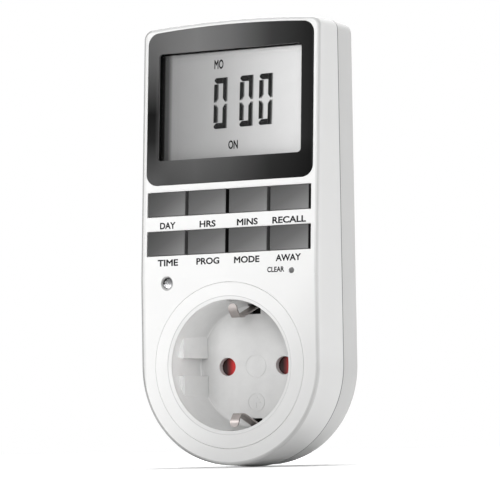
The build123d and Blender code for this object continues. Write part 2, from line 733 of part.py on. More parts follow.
def make_main_board_screws():
    screw = pan_screw(BOARD_HEAD_R, BOARD_HEAD, BOARD_SCREW_R, BOARD_SCREW_LENGTH - FIT)
    turned = Rot(-90, 0, 0) * screw
    return Compound(children=[
        Pos(x, y_at(MAIN_FRONT), z) * turned for x, z in main_screw_places()
    ])


def make_board_link():
    width = LINK_PINS * LINK_SPACING
    near = MAIN_FRONT - LINK_BAR
    half = LINK_BAR / 2
    link = block(LINK_X - width / 2, LINK_X + width / 2, near, MAIN_FRONT, LINK_Z - half, LINK_Z + half)
    for column in range(LINK_PINS):
        link += link_pin(column, 0)
    return link


def on_board(x, z, width, height, length, lift=0.0):
    """Box standing on the main board's front, centred on x and z."""
    far = MAIN_FRONT - lift
    return block(x - width / 2, x + width / 2, far - height, far, z - length / 2, z + length / 2)


def board_room(z):
    """Room at a height Z between the display board's back and the main board's front."""
    return MAIN_FRONT - face_depth(z) - (BOARD_DEPTH + DISPLAY_BOARD) / cos(radians(TILT))


RELAY_HEIGHT = board_room(RELAY_Z + RELAY_LENGTH / 2) - RELAY_ROOM


def make_relay_base():
    inner = 2 * (RELAY_SHELL + FIT)
    return on_board(RELAY_X, RELAY_Z, RELAY_WIDTH - inner, RELAY_BASE, RELAY_LENGTH - inner)


def make_relay_cover():
    cover = on_board(RELAY_X, RELAY_Z, RELAY_WIDTH, RELAY_HEIGHT, RELAY_LENGTH)
    cover = fillet(cover.edges().filter_by(Axis.Y), 0.5)
    inner = 2 * RELAY_SHELL
    room = on_board(
        RELAY_X, RELAY_Z, RELAY_WIDTH - inner, RELAY_HEIGHT - RELAY_SHELL, RELAY_LENGTH - inner
    )
    return cover - room


# The coil lies along Z on the base, on the foot of an L-shaped iron yoke. The armature
# rocks on the yoke's knife edge in front of the coil's core and carries the moving contact.
COIL_ROOM = RELAY_HEIGHT - RELAY_SHELL - RELAY_BASE - YOKE_IRON
COIL_R = (COIL_ROOM - COIL_GAP - 2 * KNIFE_GAP) / 2
CORE_R = CORE_SHARE * COIL_R
RELAY_AXIS = MAIN_FRONT - RELAY_BASE - COIL_R - COIL_GAP
RELAY_LOW = RELAY_Z - RELAY_LENGTH / 2 + YOKE_END
COIL_LOW = RELAY_LOW + YOKE_IRON
COIL_HIGH = COIL_LOW + COIL_LENGTH
POLE_Z = COIL_HIGH + POLE_PROUD
ARMATURE_Z = POLE_Z + ARMATURE_GAP
KNIFE_DEPTH = RELAY_AXIS - COIL_R - KNIFE_GAP
CONTACT_DEPTH = RELAY_AXIS + CORE_R + COIL_GAP


def tube_z(x, depth, r, low, high):
    return Pos(x, y_at(depth), (low + high) / 2) * Cylinder(r, high - low)


def make_relay_coil():
    coil = tube_z(RELAY_X, RELAY_AXIS, COIL_R, COIL_LOW, COIL_LOW + COIL_FLANGE)
    coil += tube_z(RELAY_X, RELAY_AXIS, COIL_R, COIL_HIGH - COIL_FLANGE, COIL_HIGH)
    coil += tube_z(RELAY_X, RELAY_AXIS, COIL_R - COIL_FLANGE / 2, COIL_LOW, COIL_HIGH)
    return coil - tube_z(RELAY_X, RELAY_AXIS, CORE_R + RUNNING, COIL_LOW - CUT, COIL_HIGH + CUT)


def make_relay_yoke():
    x0, x1 = RELAY_X - YOKE_HALF, RELAY_X + YOKE_HALF
    near = KNIFE_DEPTH - YOKE_IRON
    yoke = block(x0, x1, near, MAIN_FRONT - RELAY_BASE, RELAY_LOW, COIL_LOW)
    yoke += block(x0, x1, near, KNIFE_DEPTH, RELAY_LOW, COIL_HIGH)
    return yoke + tube_z(RELAY_X, RELAY_AXIS, CORE_R, RELAY_LOW, POLE_Z)


def make_relay_armature():
    x0, x1 = RELAY_X - YOKE_HALF, RELAY_X + YOKE_HALF
    near = KNIFE_DEPTH - YOKE_IRON
    top = ARMATURE_Z + ARMATURE
    seat = top + RELAY_BLADE / 2
    points = [(near + RELAY_BLADE, seat), (RELAY_AXIS, seat)]
    points += [(CONTACT_DEPTH + RELAY_CONTACT_R / 2, seat + RELAY_BLADE)]
    armature = block(x0, x1, near, RELAY_AXIS + CORE_R, ARMATURE_Z, top)
    armature += strip(points, RELAY_BLADE, YOKE_HALF, RELAY_X, RELAY_BLADE)
    return armature + tube_z(RELAY_X, CONTACT_DEPTH, RELAY_CONTACT_R, seat, seat + RELAY_CONTACT)


def make_relay_contacts():
    low = ARMATURE_Z + ARMATURE + RELAY_BLADE / 2 + RELAY_CONTACT + RELAY_CONTACT_GAP
    seat = low + RELAY_BLADE
    half = YOKE_HALF / 2
    near = CONTACT_DEPTH - RELAY_CONTACT_R - RELAY_BLADE
    rest = block(RELAY_X - half, RELAY_X + half, near, MAIN_FRONT - RELAY_BASE, seat, seat + RELAY_BLADE)
    return rest + tube_z(RELAY_X, CONTACT_DEPTH, RELAY_CONTACT_R, low, seat)


def make_mains_capacitor():
    height = board_room(FILM_CAP_Z + FILM_CAP_LENGTH / 2) - FILM_CAP_ROOM
    body = on_board(FILM_CAP_X, FILM_CAP_Z, FILM_CAP_WIDTH, height, FILM_CAP_LENGTH)
    return fillet(body.edges(), 0.5)


def make_smoothing_capacitor():
    can = tube_z(CAN_X, MAIN_FRONT - CAN_R, CAN_R, CAN_Z - CAN_LENGTH / 2, CAN_Z + CAN_LENGTH / 2)
    return fillet(can.edges(), 0.5)


def make_backup_battery():
    cell = rod(CELL_X, CELL_Z, CELL_R, MAIN_FRONT - CELL_THICK - STRIP / 2, MAIN_FRONT - STRIP / 2)
    return fillet(cell.edges(), 0.6)


def make_battery_tabs():
    front = MAIN_FRONT - CELL_THICK - STRIP / 2
    half = STRIP_WIDTH / 2
    thick = STRIP / 2
    low = CELL_Z - CELL_R - 1.5
    top = block(CELL_X - half, CELL_X + half, front - thick, front, low, CELL_Z + half)
    top += block(CELL_X - half, CELL_X + half, front - thick, MAIN_FRONT, low, low + thick)
    under = block(CELL_X - half, CELL_X + half, MAIN_FRONT - thick, MAIN_FRONT, CELL_Z - half,
                  CELL_Z + CELL_R + 1)
    return Compound(children=[top, under])


def axial_part(x, z, r, length):
    """Body along X above the main board, its two leads bent down onto it."""
    depth = MAIN_FRONT - r - LEAD_LIFT
    body = Pos(x, y_at(depth), z) * Rot(0, 90, 0) * Cylinder(r, length)
    body = fillet(body.edges(), r * 0.3)
    reach = length / 2 + LEAD_REACH / 2
    body += Pos(x, y_at(depth), z) * Rot(0, 90, 0) * Cylinder(LEAD_R, 2 * reach)
    for side in (-1, 1):
        body += rod(x + side * reach, z, LEAD_R, depth, MAIN_FRONT)
        body += Pos(x + side * reach, y_at(depth), z) * Sphere(LEAD_R)
    return body


def make_rectifier_diodes():
    return Compound(children=[
        axial_part(DIODE_X, DIODE_Z + row * DIODE_SPACING, DIODE_R, DIODE_LENGTH) for row in range(4)
    ])


def make_power_resistors():
    return Compound(children=[
        axial_part(RESISTOR_X, RESISTOR_Z + row * RESISTOR_SPACING, RESISTOR_R, RESISTOR_LENGTH)
        for row in range(3)
    ])


def make_varistor():
    disc = tube_z(DISC_X, MAIN_FRONT - DISC_R, DISC_R, DISC_Z - DISC_THICK / 2, DISC_Z + DISC_THICK / 2)
    return fillet(disc.edges(), 1.0)


def make_driver_transistor():
    depth = MAIN_FRONT - TRANSISTOR_LIFT
    low, high = TRANSISTOR_Z - TRANSISTOR_LENGTH / 2, TRANSISTOR_Z + TRANSISTOR_LENGTH / 2
    body = tube_z(TRANSISTOR_X, depth, TRANSISTOR_R, low, high)
    flat = depth + TRANSISTOR_R * 0.6
    x0, x1 = TRANSISTOR_X - TRANSISTOR_R, TRANSISTOR_X + TRANSISTOR_R
    body -= block(x0, x1, flat, MAIN_FRONT, low - CUT, high + CUT)
    half = TRANSISTOR_LEAD / 2
    for column in (-1, 0, 1):
        x = TRANSISTOR_X + column * TRANSISTOR_SPACING
        z = low + TRANSISTOR_LEAD
        body += block(x - half, x + half, flat - TRANSISTOR_LEAD, MAIN_FRONT, z - half, z + half)
    return body


# ---- Socket well ----
def ring_mark(z, r):
    return slab(Pos(0, z) * (Circle(r) - Circle(r - MARK_LINE)), WELL_DEPTH - MARK_HEIGHT, WELL_DEPTH + FIT)


def mark_bar(x, z, width, height):
    return slab(Pos(x, z) * Rectangle(width, height), WELL_DEPTH - MARK_HEIGHT, WELL_DEPTH + FIT)


def guides():
    """The two pairs of flats at the sides of the well, split by the plug's guide grooves."""
    profile = Polyline(
        (GUIDE_FRONT_X, y_at(GUIDE_START)),
        (WELL_WALL_R, y_at(GUIDE_START)),
        (WELL_WALL_R, y_at(WELL_DEPTH)),
        (GUIDE_FLOOR_X, y_at(WELL_DEPTH)),
        close=True,
    )
    side = extrude(Plane.XY * make_face(profile), WELL_R, both=True)
    half = GUIDE_WIDTH / 2
    side -= block(0, 2 * WELL_R, 0, END_DEPTH, -half, half)
    return side + other_side(side)


def make_socket_insert():
    body = rod(0, 0, WELL_WALL_R, 0, FLOOR_BACK) + rod(0, 0, FLANGE_R, 0, FLANGE)
    cone = Pos(0, y_at(WELL_DEPTH / 2), 0) * Rot(90, 0, 0) * Cone(WELL_FLOOR_R, WELL_R, WELL_DEPTH)
    cone = fillet(cone.faces().sort_by(Axis.Y)[-1].edges(), WELL_ROUND)
    rim = Pos(0, y_at(RIM_SLOPE / 2), 0) * Rot(90, 0, 0) * Cone(WELL_R - FIT, RIM_R, RIM_SLOPE)
    body -= cone - guides()
    body -= rim
    for sign in (-1, 1):
        body -= rod(sign * PIN_X, 0, PIN_HOLE_R, WELL_DEPTH - CUT, FLOOR_BACK + CUT)
        half = CLIP_SLOT_WIDTH / 2
        z0, z1 = sorted((sign * CLIP_SLOT_Z, sign * (WELL_WALL_R + CUT)))
        body -= block(-half, half, CLIP_SLOT_START, FLOOR_BACK + CUT, z0, z1)
        z0, z1 = sorted((sign * CLIP_SLOT_Z, sign * CLIP_SWEEP_Z))
        body -= block(-half, half, CLIP_TIP_DEPTH - CUT, CLIP_APEX_DEPTH, z0, z1)
    body += ring_mark(0, MARK_R) + ring_mark(EARTH_MARK_Z, EARTH_MARK_R)
    stem_z = EARTH_MARK_Z - EARTH_MARK_STEM / 2
    body += mark_bar(0, stem_z, MARK_LINE, EARTH_MARK_STEM)
    for bar, width in enumerate(EARTH_MARK_BARS):
        body += mark_bar(0, EARTH_MARK_Z + EARTH_MARK_STEP * bar, width, MARK_LINE)
    body += rod(0, 0, PIVOT_R, WELL_DEPTH + CUT, CARRIER_BACK)
    for x, z in carrier_screw_places():
        body += rod(x, z, EAR_R - 4 * FIT, WELL_DEPTH + CUT, CARRIER_FRONT)
        body -= rod(x, z, BOARD_SCREW_R, CARRIER_FRONT - EAR_SCREW_BITE, CARRIER_FRONT)
    return body


# ---- Shutter and spring ----
def make_shutter():
    lobes = Rectangle(2 * PIN_X, 2 * LOBE_R * 0.8)
    for sign in (-1, 1):
        lobes += Pos(sign * PIN_X, 0) * Circle(LOBE_R)
    plate = slab(lobes + Circle(HUB_R), SHUTTER_FRONT, SHUTTER_BACK)
    return plate - rod(0, 0, PIVOT_R + RUNNING, SHUTTER_FRONT - CUT, SHUTTER_BACK + CUT)


def make_shutter_spring():
    coil = Helix(SPRING_PITCH, SPRING_PITCH * SPRING_TURNS, SPRING_R)
    section = Plane(coil @ 0, z_dir=coil % 0) * Circle(SPRING_WIRE / 2)
    wire = sweep(section, path=coil)
    start = SHUTTER_BACK + FIT + SPRING_WIRE / 2
    return Pos(0, y_at(start), 0) * Rot(-90, 0, 0) * wire


# ---- Contact carrier, its screws, contacts and earth parts ----
def make_contact_carrier():
    disc = slab(Circle(BOSS_INNER_R - FIT), CARRIER_FRONT, CARRIER_BACK)
    for x, z in carrier_screw_places():
        root_x, root_z = x - EAR_R * x / EAR_X, z / 2
        length = hypot(x - root_x, z - root_z)
        turn = degrees(atan2(z - root_z, x - root_x))
        arm = Pos((x + root_x) / 2, (z + root_z) / 2) * Rot(0, 0, turn) * Rectangle(length, 2 * EAR_R)
        ear = arm + Pos(x, z) * Circle(EAR_R)
        disc += slab(ear, CARRIER_FRONT, CARRIER_FRONT + CARRIER_EAR)
    for sign in (-1, 1):
        tower = rod(sign * PIN_X, 0, SLEEVE_R + FIT + TOWER_WALL, CARRIER_FRONT, CARRIER_BACK)
        disc += tower
    for sign in (-1, 1):
        disc -= rod(sign * PIN_X, 0, SLEEVE_R + FIT, CARRIER_FRONT - CUT, CARRIER_BACK + CUT)
        z0, z1 = sorted((sign * (YOKE_LEG_Z - STRIP), sign * 2 * BOSS_R))
        half = YOKE_WIDTH / 2 + 2 * FIT
        disc -= block(-half, half, CARRIER_FRONT - CUT, CARRIER_BACK + CUT, z0, z1)
        x0 = LOAD_X - STRIP_WIDTH / 2 - 2 * FIT
        x1 = BUS_X + STRIP_WIDTH / 2 + 2 * FIT
        x0, x1 = sorted((sign * x0, sign * x1))
        low = RISER_Z - STRIP / 2 - 2 * FIT
        disc -= block(x0, x1, CARRIER_FRONT - CUT, CARRIER_BACK + CUT, low, 2 * BOSS_R)
    sink = BOARD_HEAD_R - BOARD_SCREW_R
    cone = Rot(90, 0, 0) * Pos(0, 0, sink / 2) * Cone(BOARD_HEAD_R + FIT, BOARD_SCREW_R + FIT, sink)
    for x, z in carrier_screw_places():
        disc -= rod(x, z, BOARD_SCREW_R + FIT, CARRIER_FRONT - CUT, CARRIER_BACK + CUT)
        disc -= Pos(x, y_at(CARRIER_FRONT + CARRIER_EAR), z) * cone
    disc -= rod(0, 0, PIVOT_R + FIT, CARRIER_FRONT - CUT, CARRIER_BACK + CUT)
    room = SPRING_PITCH * SPRING_TURNS + SPRING_WIRE + 2 * FIT
    return disc - rod(0, 0, SPRING_R + SPRING_WIRE, CARRIER_FRONT - CUT, SHUTTER_BACK + room)


def make_carrier_screws():
    """Countersunk screws, their heads flush with the ears' backs."""
    head = BOARD_HEAD_R - BOARD_SCREW_R
    length = CARRIER_EAR + EAR_SCREW_BITE - FIT
    screw = Pos(0, 0, head / 2) * Cone(BOARD_HEAD_R, BOARD_SCREW_R, head)
    screw += Pos(0, 0, length / 2) * Cylinder(BOARD_SCREW_R, length)
    screw -= Box(BOARD_HEAD_R * 1.4, head * 0.4, head)
    screw -= Box(head * 0.4, BOARD_HEAD_R * 1.4, head)
    turned = Rot(90, 0, 0) * screw
    depth = CARRIER_FRONT + CARRIER_EAR
    return Compound(children=[
        Pos(x, y_at(depth), z) * turned for x, z in carrier_screw_places()
    ])


def make_socket_contact():
    """Slit sleeve with a plate and a tail that climbs to the main board, on the +X side."""
    near = CARRIER_BACK
    plate_x0 = LOAD_X - STRIP_WIDTH / 2
    plate_x1 = PIN_X + SLEEVE_R + STRIP
    plate = block(plate_x0, plate_x1, near, near + STRIP, -SLEEVE_R - STRIP, SLEEVE_R + STRIP)
    sleeve = rod(PIN_X, 0, SLEEVE_R, CARRIER_FRONT + 4 * FIT, near + SLEEVE_LENGTH)
    tail_points = [(near + STRIP / 2, 0), (near + STRIP / 2, RISER_Z), (BUS_DEPTH, RISER_Z)]
    top = MAIN_BOARD_LOW_Z + TAB_RISE
    tail_points += [(BUS_DEPTH, top), (MAIN_FRONT - STRIP, top)]
    contact = plate + sleeve + strip(tail_points, STRIP, STRIP_WIDTH, LOAD_X, STRIP * 0.6)
    contact -= rod(PIN_X, 0, PIN_R - 2 * RUNNING, CARRIER_FRONT - CUT, near + SLEEVE_LENGTH + CUT)
    half = SLEEVE_SLIT / 2
    slit = block(PIN_X - half, PIN_X + half, near + 2 * CUT, near + SLEEVE_LENGTH + CUT, -PIN_X, PIN_X)
    return contact - slit


def make_neutral_contact():
    """Slit sleeve on the -X side; its plate lies against the neutral busbar."""
    near = CARRIER_BACK
    contact = rod(-PIN_X, 0, SLEEVE_R, CARRIER_FRONT + 4 * FIT, near + SLEEVE_LENGTH)
    half = STRIP_WIDTH / 2
    contact += block(-BUS_X - half, -BUS_X + half, near, near + STRIP, 0, RISER_Z - STRIP / 2)
    contact += rod(-PIN_X, 0, SLEEVE_R + STRIP, near, near + STRIP)
    contact -= rod(-PIN_X, 0, PIN_R - 2 * RUNNING, CARRIER_FRONT - CUT, near + SLEEVE_LENGTH + CUT)
    half = SLEEVE_SLIT / 2
    far = near + SLEEVE_LENGTH + CUT
    return contact - block(-PIN_X - half, -PIN_X + half, near + 2 * CUT, far, -PIN_X, PIN_X)


def make_busbar(x):
    """Strip from a plug pin's head round to the main board."""
    near = HEAD_FRONT - STRIP / 2
    top = MAIN_BOARD_LOW_Z + TAB_RISE
    points = [(near, -PIN_HEAD_R), (near, RISER_Z), (BUS_DEPTH, RISER_Z)]
    points += [(BUS_DEPTH, top), (MAIN_FRONT - STRIP, top)]
    return strip(points, STRIP, STRIP_WIDTH, x, STRIP * 0.6)


def make_plug_pin(x):
    wall_front = END_DEPTH - BOSS_WALL
    pin = rod(x, 0, PIN_HEAD_R, HEAD_FRONT, wall_front)
    pin += rod(x, 0, PIN_COLLAR_R, wall_front - PIN_COLLAR_BITE, END_DEPTH)
    shaft = rod(x, 0, PIN_R, END_DEPTH - CUT, END_DEPTH + PIN_LENGTH)
    shaft = fillet(shaft.faces().sort_by(Axis.Y)[-1].edges(), PIN_TIP)
    return pin + shaft


def make_earth_clip():
    """Upper clip: round tip, apex that meets the plug, blade through the slot, rolled root."""
    points = [(CLIP_APEX_DEPTH + run, CLIP_APEX_Z + rise) for run, rise in CLIP_SHAPE]
    points += [(ROOT_DEPTH - CLIP_TAIL_RUN, ROOT_Z - CLIP_TAIL_RISE), (ROOT_DEPTH, ROOT_Z)]
    blade = strip(points, CLIP, CLIP_WIDTH, 0, CLIP_BENDS)
    half = CLIP_WIDTH / 2
    low = CLIP_TIP_Z - half
    corners = block(-half, half, CLIP_TIP_DEPTH - CUT, CLIP_APEX_DEPTH, low, CLIP_TIP_Z + CUT)
    blade -= corners - rod(0, low, half, CLIP_TIP_DEPTH - 2 * CUT, CLIP_APEX_DEPTH + CUT)
    bead = Pos(0, y_at(ROOT_DEPTH), ROOT_Z) * Rot(0, 90, 0) * Cylinder(ROOT_R, CLIP_WIDTH)
    return blade + bead


def make_earth_yoke():
    """Bar behind the carrier whose rolled ends hold the clips' roots."""
    curl_r = ROOT_R + RUNNING + STRIP * 0.7
    back = ROOT_DEPTH + ROOT_R + RUNNING + STRIP / 2 - FIT
    points = [(back, ROOT_Z), (back, YOKE_LEG_Z), (YOKE_DEPTH, YOKE_LEG_Z), (YOKE_DEPTH, 0)]
    arm = strip(points, STRIP, YOKE_WIDTH, 0, STRIP * 0.6)
    curl = Pos(0, y_at(ROOT_DEPTH), ROOT_Z) * Rot(0, 90, 0) * Cylinder(curl_r, YOKE_WIDTH)
    low, high = ROOT_Z - YOKE_MOUTH, ROOT_Z + YOKE_MOUTH
    mouth = block(-YOKE_WIDTH, YOKE_WIDTH, ROOT_DEPTH - 2 * curl_r, ROOT_DEPTH, low, high)
    bore = Pos(0, y_at(ROOT_DEPTH), ROOT_Z) * Rot(0, 90, 0) * Cylinder(ROOT_R + RUNNING, 2 * YOKE_WIDTH)
    arm = arm + (curl - mouth)
    arm -= bore
    return arm + upside_down(arm)


def make_plug_earth_strip():
    """Upper sprung strip in the plug body's recess; its inner end lies on the yoke."""
    touch = YOKE_DEPTH + STRIP / 2 + EARTH_STRIP / 2
    inner = BODY_DEPTH + WALL + EARTH_BEND
    out = BOSS_R - EARTH_RECESS + EARTH_STRIP / 2 + FIT
    bow = out + EARTH_BOW
    points = [(touch, YOKE_LEG_Z - EARTH_LAP), (touch, YOKE_LEG_Z + EARTH_BEND), (inner, out)]
    points += [(inner + EARTH_BOW_START, bow), (END_DEPTH - EARTH_BOW_END, bow)]
    points += [(END_DEPTH - EARTH_BEND, out)]
    return strip(points, EARTH_STRIP, EARTH_STRIP_WIDTH, 0, EARTH_BOW)


def make_plug_earth_socket():
    near = YOKE_DEPTH + STRIP / 2
    outer = EARTH_HOLE_R + EARTH_SLEEVE
    tube = rod(0, EARTH_HOLE_Z, outer, near, END_DEPTH - FIT)
    return tube - rod(0, EARTH_HOLE_Z, EARTH_HOLE_R, near + STRIP, END_DEPTH + CUT)


def make_case_screws():
    screw = pan_screw(CASE_HEAD_R, CASE_HEAD, CASE_SHANK_R, CASE_SCREW_LENGTH)
    turned = Rot(90, 0, 0) * screw
    depth = BODY_DEPTH - CASE_HEAD_DEPTH
    return Compound(children=[
        Pos(x, y_at(depth), z) * turned for x, z in case_screw_places()
    ])


KEY_NAMES = (
    ("key_day", "key_hour", "key_minute", "key_recall"),
    ("key_clock", "key_timer", "key_mode", "key_random"),
)


def make_parts():
    parts = {
        "front_cover": make_front_cover(),
        "rear_cover": make_rear_cover(),
        "display_bezel": make_display_bezel(),
        "display_window": make_display_window(),
        "lcd_panel": make_lcd_panel(),
        "lcd_holder": make_lcd_holder(),
        "zebra_strip": zebra_bar(0),
        "keypad_mat": make_keypad_mat(),
        "reset_button": make_reset_button(),
        "reset_switch": make_reset_switch(),
        "status_led": make_status_led(),
        "display_board": make_display_board(),
        "controller_chip": make_controller_chip(),
        "quartz_crystal": make_quartz_crystal(),
        "display_board_screws": make_display_board_screws(),
        "main_board": make_main_board(),
        "main_board_screws": make_main_board_screws(),
        "board_link": make_board_link(),
        "relay_base": make_relay_base(),
        "relay_cover": make_relay_cover(),
        "relay_coil": make_relay_coil(),
        "relay_yoke": make_relay_yoke(),
        "relay_armature": make_relay_armature(),
        "relay_contacts": make_relay_contacts(),
        "mains_capacitor": make_mains_capacitor(),
        "smoothing_capacitor": make_smoothing_capacitor(),
        "backup_battery": make_backup_battery(),
        "battery_tabs": make_battery_tabs(),
        "rectifier_diodes": make_rectifier_diodes(),
        "power_resistors": make_power_resistors(),
        "varistor": make_varistor(),
        "driver_transistor": make_driver_transistor(),
        "socket_insert": make_socket_insert(),
        "shutter": make_shutter(),
        "shutter_spring": make_shutter_spring(),
        "contact_carrier": make_contact_carrier(),
        "carrier_screws": make_carrier_screws(),
        "socket_contact_live": make_socket_contact(),
        "socket_contact_neutral": make_neutral_contact(),
        "live_busbar": make_busbar(BUS_X),
        "neutral_busbar": make_busbar(-BUS_X),
        "plug_pin_live": make_plug_pin(PIN_X),
        "plug_pin_neutral": make_plug_pin(-PIN_X),
        "earth_clip_top": make_earth_clip(),
        "earth_clip_bottom": upside_down(make_earth_clip()),
        "earth_yoke": make_earth_yoke(),
        "plug_earth_strip_top": make_plug_earth_strip(),
        "plug_earth_strip_bottom": upside_down(make_plug_earth_strip()),
        "plug_earth_socket": make_plug_earth_socket(),
        "case_screws": make_case_screws(),
    }
    for row, z in enumerate((KEY_HIGH_Z, KEY_LOW_Z)):
        for column, name in enumerate(KEY_NAMES[row]):
            parts[name] = make_key(column, z)
    return parts


os.makedirs("parts", exist_ok=True)
for name, part in make_parts().items():
    export_step(part, f"parts/{name}.step")
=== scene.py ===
from math import cos, radians, sin, tan

import bpy
from mathutils import Matrix, Vector


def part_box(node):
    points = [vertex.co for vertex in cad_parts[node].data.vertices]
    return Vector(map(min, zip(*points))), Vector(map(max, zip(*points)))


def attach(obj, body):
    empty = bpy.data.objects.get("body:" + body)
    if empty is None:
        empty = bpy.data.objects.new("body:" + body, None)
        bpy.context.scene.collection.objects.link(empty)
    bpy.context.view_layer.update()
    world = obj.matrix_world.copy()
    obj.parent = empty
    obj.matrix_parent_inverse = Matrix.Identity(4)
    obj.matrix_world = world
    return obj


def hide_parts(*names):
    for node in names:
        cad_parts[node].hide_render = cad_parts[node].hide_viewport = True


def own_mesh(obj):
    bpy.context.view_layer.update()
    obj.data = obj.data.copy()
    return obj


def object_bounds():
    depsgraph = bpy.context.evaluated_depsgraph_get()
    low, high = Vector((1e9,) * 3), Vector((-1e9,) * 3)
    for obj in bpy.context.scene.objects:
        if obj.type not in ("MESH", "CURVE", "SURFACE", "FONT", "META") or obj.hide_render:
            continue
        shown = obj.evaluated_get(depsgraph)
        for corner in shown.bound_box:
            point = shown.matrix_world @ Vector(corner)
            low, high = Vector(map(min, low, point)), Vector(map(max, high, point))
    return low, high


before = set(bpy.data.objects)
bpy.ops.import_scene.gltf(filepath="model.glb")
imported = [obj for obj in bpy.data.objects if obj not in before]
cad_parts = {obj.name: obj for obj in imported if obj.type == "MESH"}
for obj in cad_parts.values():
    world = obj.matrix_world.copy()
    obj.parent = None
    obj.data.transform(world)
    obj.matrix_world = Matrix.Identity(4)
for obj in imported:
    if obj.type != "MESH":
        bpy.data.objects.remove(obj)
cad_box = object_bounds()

bpy.ops.object.select_all(action="DESELECT")
MM = 0.001


# ---- Camera ----
# Product lens 0.86 m away, a little to the right of the timer and just above the table,
# turned slightly up. The picture is square and the lens is set for it, with no shift.
camera_data = bpy.data.cameras.new("camera")
camera_data.sensor_width = 36.0
camera_data.lens = 209.77
camera_data.clip_start = 0.01
camera = bpy.data.objects.new("camera", camera_data)
bpy.context.scene.collection.objects.link(camera)
azimuth, rise, roll = radians(27.15), radians(-3.84), radians(-0.95)
distance = 855.6
face_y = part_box("front_cover")[0][1] / MM
aim = Vector((7.70, face_y, 33.57))
back = Vector((sin(azimuth) * cos(rise), -cos(azimuth) * cos(rise), sin(rise)))
level = Vector((cos(azimuth), sin(azimuth), 0.0))
upright = back.cross(level)
right = cos(roll) * level + sin(roll) * upright
up = cos(roll) * upright - sin(roll) * level
stand = (aim + distance * back) * MM
camera.matrix_world = Matrix((
    (right.x, up.x, back.x, stand.x),
    (right.y, up.y, back.y, stand.y),
    (right.z, up.z, back.z, stand.z),
    (0, 0, 0, 1),
))
bpy.context.scene.camera = camera
bpy.context.scene.view_settings.view_transform = "Standard"


# ---- Table, cove and lamps ----
# The timer stands on its round end on a white table, in a white cove. A finish is a
# material and its nodes: arithmetic on one of its values adds a Math node, and every other
# node comes from Nodes.node.
class Value:
    """What comes out of a node's socket, to reckon with."""

    def __init__(self, nodes, socket):
        self.nodes, self.socket = nodes, socket

    def math(self, operation, *others):
        return self.nodes.node("Math", {"operation": operation}, [self, *others])

    def __add__(self, other):
        return self.math("ADD", other)

    def __sub__(self, other):
        return self.math("SUBTRACT", other)

    def __rsub__(self, other):
        return self.nodes.node("Math", {"operation": "SUBTRACT"}, [other, self])

    def __mul__(self, other):
        return self.math("MULTIPLY", other)

    def __truediv__(self, other):
        return self.math("DIVIDE", other)

    def __abs__(self):
        return self.math("ABSOLUTE")

    def __gt__(self, other):
        return self.math("GREATER_THAN", other)

    def __lt__(self, other):
        return self.math("LESS_THAN", other)

    __radd__, __rmul__ = __add__, __mul__


def grey(level):
    """A colour as it is, or a grey level as a colour."""
    return level if isinstance(level, (tuple, Value)) else (level, level, level)


class Nodes:
    """The nodes of a material or of the world."""

    def __init__(self, tree):
        self.tree = tree

    def node(self, kind, settings=None, sockets=(), out=0):
        node = self.tree.nodes.new("ShaderNode" + kind)
        for setting, value in (settings or {}).items():
            if setting == "stops":
                stops = node.color_ramp.elements
                while len(stops) < len(value):
                    stops.new(1.0)
                for stop, (place, level) in zip(stops, value):
                    stop.position, stop.color = place, (*grey(level), 1.0)
            else:
                setattr(node, setting, value)
        pairs = sockets.items() if isinstance(sockets, dict) else enumerate(sockets)
        for socket, value in pairs:
            if isinstance(value, Value):
                self.tree.links.new(value.socket, node.inputs[socket])
            else:
                node.inputs[socket].default_value = value
        return Value(self, node.outputs[out])

    def feed(self, value, node, socket):
        """Links a value to a socket of a node that is already there."""
        self.tree.links.new(value.socket, self.tree.nodes[node].inputs[socket])


class Finish(Nodes):
    """A node material. Keyword constants go on the shader's own sockets."""

    def __init__(self, name, **constants):
        self.material = bpy.data.materials.new(name)
        self.material.use_nodes = True
        super().__init__(self.material.node_tree)
        self.shader = self.tree.nodes["Principled BSDF"]
        for socket, value in constants.items():
            self.shader.inputs[socket.replace("_", " ")].default_value = value

    def place(self):
        return self.node("TexCoord", out="Object")

    def axes(self, vector, unit=MM):
        """The three parts of a vector, in mm where it is a place."""
        split = self.node("SeparateXYZ", sockets=[vector])
        return [Value(self, split.socket.node.outputs[i]) / unit for i in range(3)]

    def facing(self):
        """The way the surface faces, as three parts from -1 to 1."""
        return self.axes(self.node("TexCoord", out="Normal"), unit=1.0)

    def ramp(self, value, stops):
        """Colour that goes through (value, level) stops."""
        low, high = stops[0][0], stops[-1][0]
        spread = (value - low) / (high - low)
        scaled = [((place - low) / (high - low), level) for place, level in stops]
        return self.node("ValToRGB", {"stops": scaled}, [spread])

    def within(self, value, low, high, soft):
        """1 between low and high, falling to 0 over soft at each end."""
        middle, half = (low + high) / 2, (high - low) / 2
        return self.node("Clamp", sockets=[(half - abs(value - middle)) / soft + 0.5])

    def mix(self, amount, one, other):
        """From one colour or level at 0 to the other at 1."""
        one, other = [c if isinstance(c, Value) else (*grey(c), 1.0) for c in (one, other)]
        return self.node("Mix", {"data_type": "RGBA"}, {0: amount, 6: one, 7: other}, out=2)

    def times(self, one, other):
        """Colour times colour or grey level."""
        other = other if isinstance(other, Value) else (*grey(other), 1.0)
        settings = {"data_type": "RGBA", "blend_type": "MULTIPLY"}
        return self.node("Mix", settings, {0: 1.0, 6: one, 7: other}, out=2)

    def noise(self, place, scale, detail=2.0, roughness=0.5):
        return self.node("TexNoise", sockets={
            "Vector": place, "Scale": scale, "Detail": detail, "Roughness": roughness})

    def set(self, socket, value):
        """Links a value to a socket of the shader."""
        self.tree.links.new(value.socket, self.shader.inputs[socket])

    def bump(self, height, distance, strength=1.0):
        self.set("Normal", self.node("Bump", sockets={
            "Height": height, "Distance": distance, "Strength": strength}))


